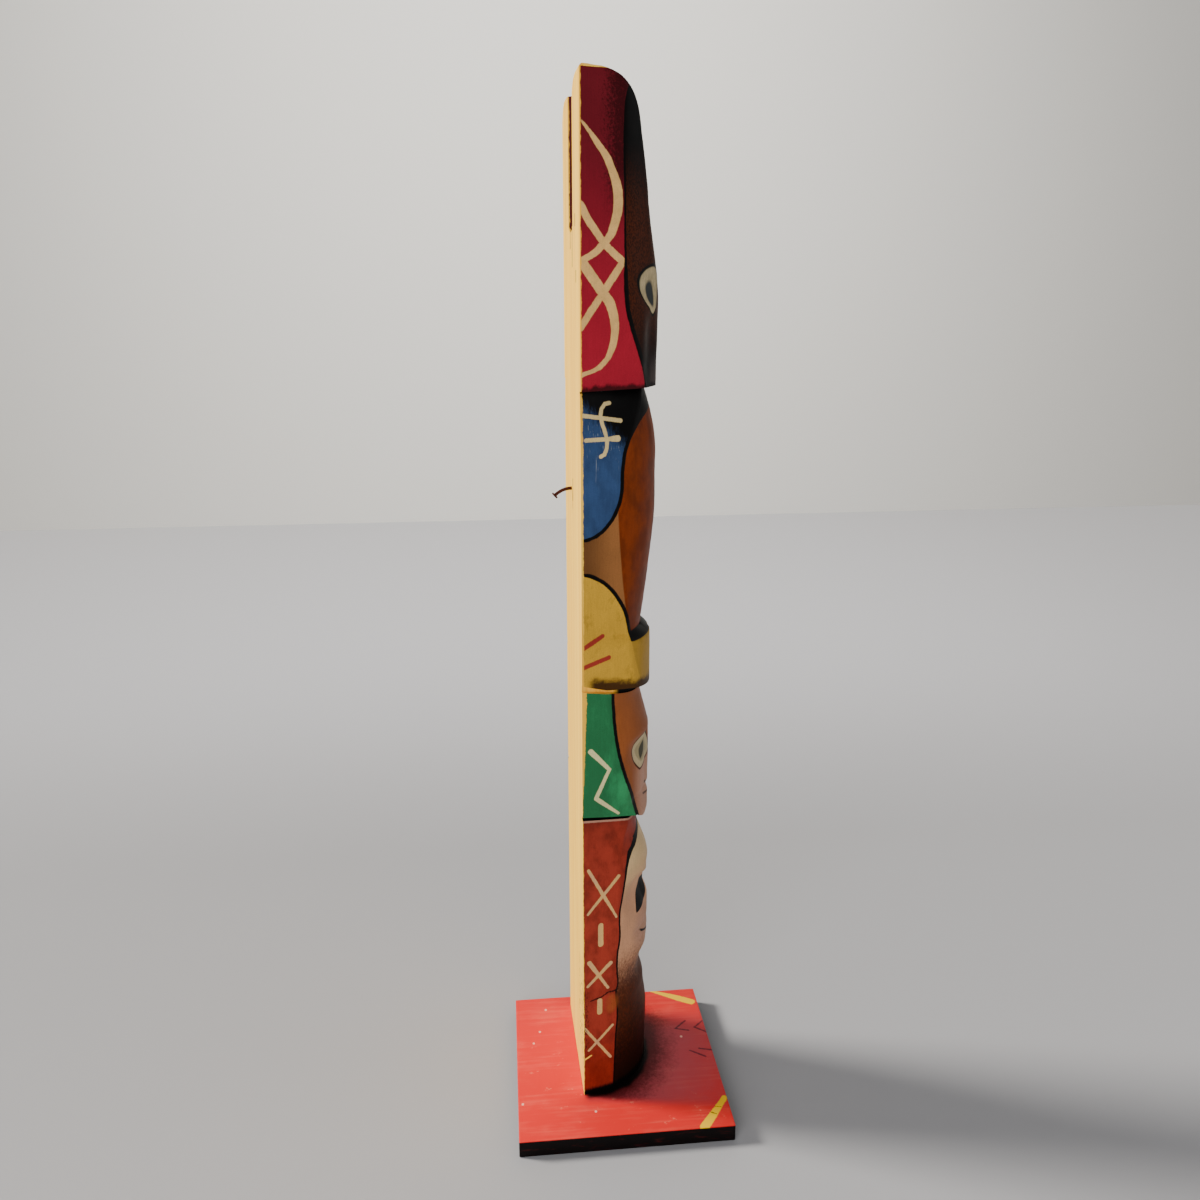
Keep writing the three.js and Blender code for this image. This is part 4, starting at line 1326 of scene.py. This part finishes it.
class TOTEM_OT_stage(bpy.types.Operator):
    """Set the camera, the floor and the lamps"""

    bl_idname = "totem.stage"
    bl_label = "Camera, floor and lamps"

    def execute(self, context):
        sizes = context.scene.totem_stage
        start_clean()
        bpy.ops.mesh.primitive_plane_add(size=sizes.floor, location=(0, 0, UNDER_BOARD))
        floor = bpy.context.object
        floor.name = "floor"
        upright = (0, math.pi / 2, 0)
        bpy.ops.mesh.primitive_plane_add(size=sizes.wall_side, location=(sizes.wall, 0, 0), rotation=upright)
        wall = bpy.context.object
        wall.name = "wall"
        for plane, tone in ((floor, sizes.floor_colour), (wall, sizes.wall_colour)):
            finish = Finish(bpy.data.materials.new(plane.name + "_paint"))
            finish.skin.inputs["Base Color"].default_value = (*tone, 1)
            finish.skin.inputs["Roughness"].default_value = 0.8
            plane.data.materials.append(finish.material)
        wall.visible_shadow = False
        camera = bpy.data.cameras.new("camera")
        camera.lens = sizes.lens
        camera.sensor_width = 36
        camera.clip_end = FARTHEST
        eye = bpy.data.objects.new("camera", camera)
        context.scene.collection.objects.link(eye)
        level = math.cos(sizes.pitch)
        ahead = Vector((level * math.cos(sizes.yaw), level * math.sin(sizes.yaw), math.sin(sizes.pitch)))
        eye.location = sizes.camera
        eye.rotation_euler = ahead.to_track_quat("-Z", "Y").to_euler()
        context.scene.camera = eye
        for settings in LAMPS:
            lamp(*settings)
        world = bpy.data.worlds.new("room")
        world.use_nodes = True
        sky = world.node_tree.nodes["Background"]
        sky.inputs["Color"].default_value = (*sizes.sky, 1)
        sky.inputs["Strength"].default_value = sizes.sky_strength
        context.scene.world = world
        return {"FINISHED"}


class TOTEM_PT_panel(bpy.types.Panel):
    """Buttons and sizes of the totem pole"""

    bl_idname = "TOTEM_PT_panel"
    bl_label = "Totem pole"
    bl_space_type = "VIEW_3D"
    bl_region_type = "UI"
    bl_category = "Totem"

    def draw(self, context):
        for operator, group in PANEL_ROWS:
            box = self.layout.box()
            box.operator(operator)
            for name in group:
                sizes = getattr(context.scene, name)
                for key in sizes.__annotations__:
                    box.prop(sizes, key)


PANEL_ROWS = [
    ("totem.pole", ("totem_pole", "totem_paint")),
    ("totem.board", ("totem_board",)),
    ("totem.nail", ("totem_nail",)),
    ("totem.stage", ("totem_stage",)),
]
GROUPS = {
    "totem_pole": TotemPoleSizes,
    "totem_paint": TotemPaintColours,
    "totem_board": TotemBoardSizes,
    "totem_nail": TotemNailSizes,
    "totem_stage": TotemStageSizes,
}
CLASSES = [*GROUPS.values(), TOTEM_OT_pole, TOTEM_OT_board, TOTEM_OT_nail, TOTEM_OT_stage, TOTEM_PT_panel]


def register():
    for cls in CLASSES:
        bpy.utils.register_class(cls)
    for name, group in GROUPS.items():
        setattr(bpy.types.Scene, name, PointerProperty(type=group))


def unregister():
    for name in GROUPS:
        delattr(bpy.types.Scene, name)
    for cls in reversed(CLASSES):
        bpy.utils.unregister_class(cls)


def main():
    register()
    bpy.ops.totem.stage()
    bpy.ops.totem.board()
    bpy.ops.totem.nail()
    bpy.ops.totem.pole()


if __name__ == "__main__":
    main()
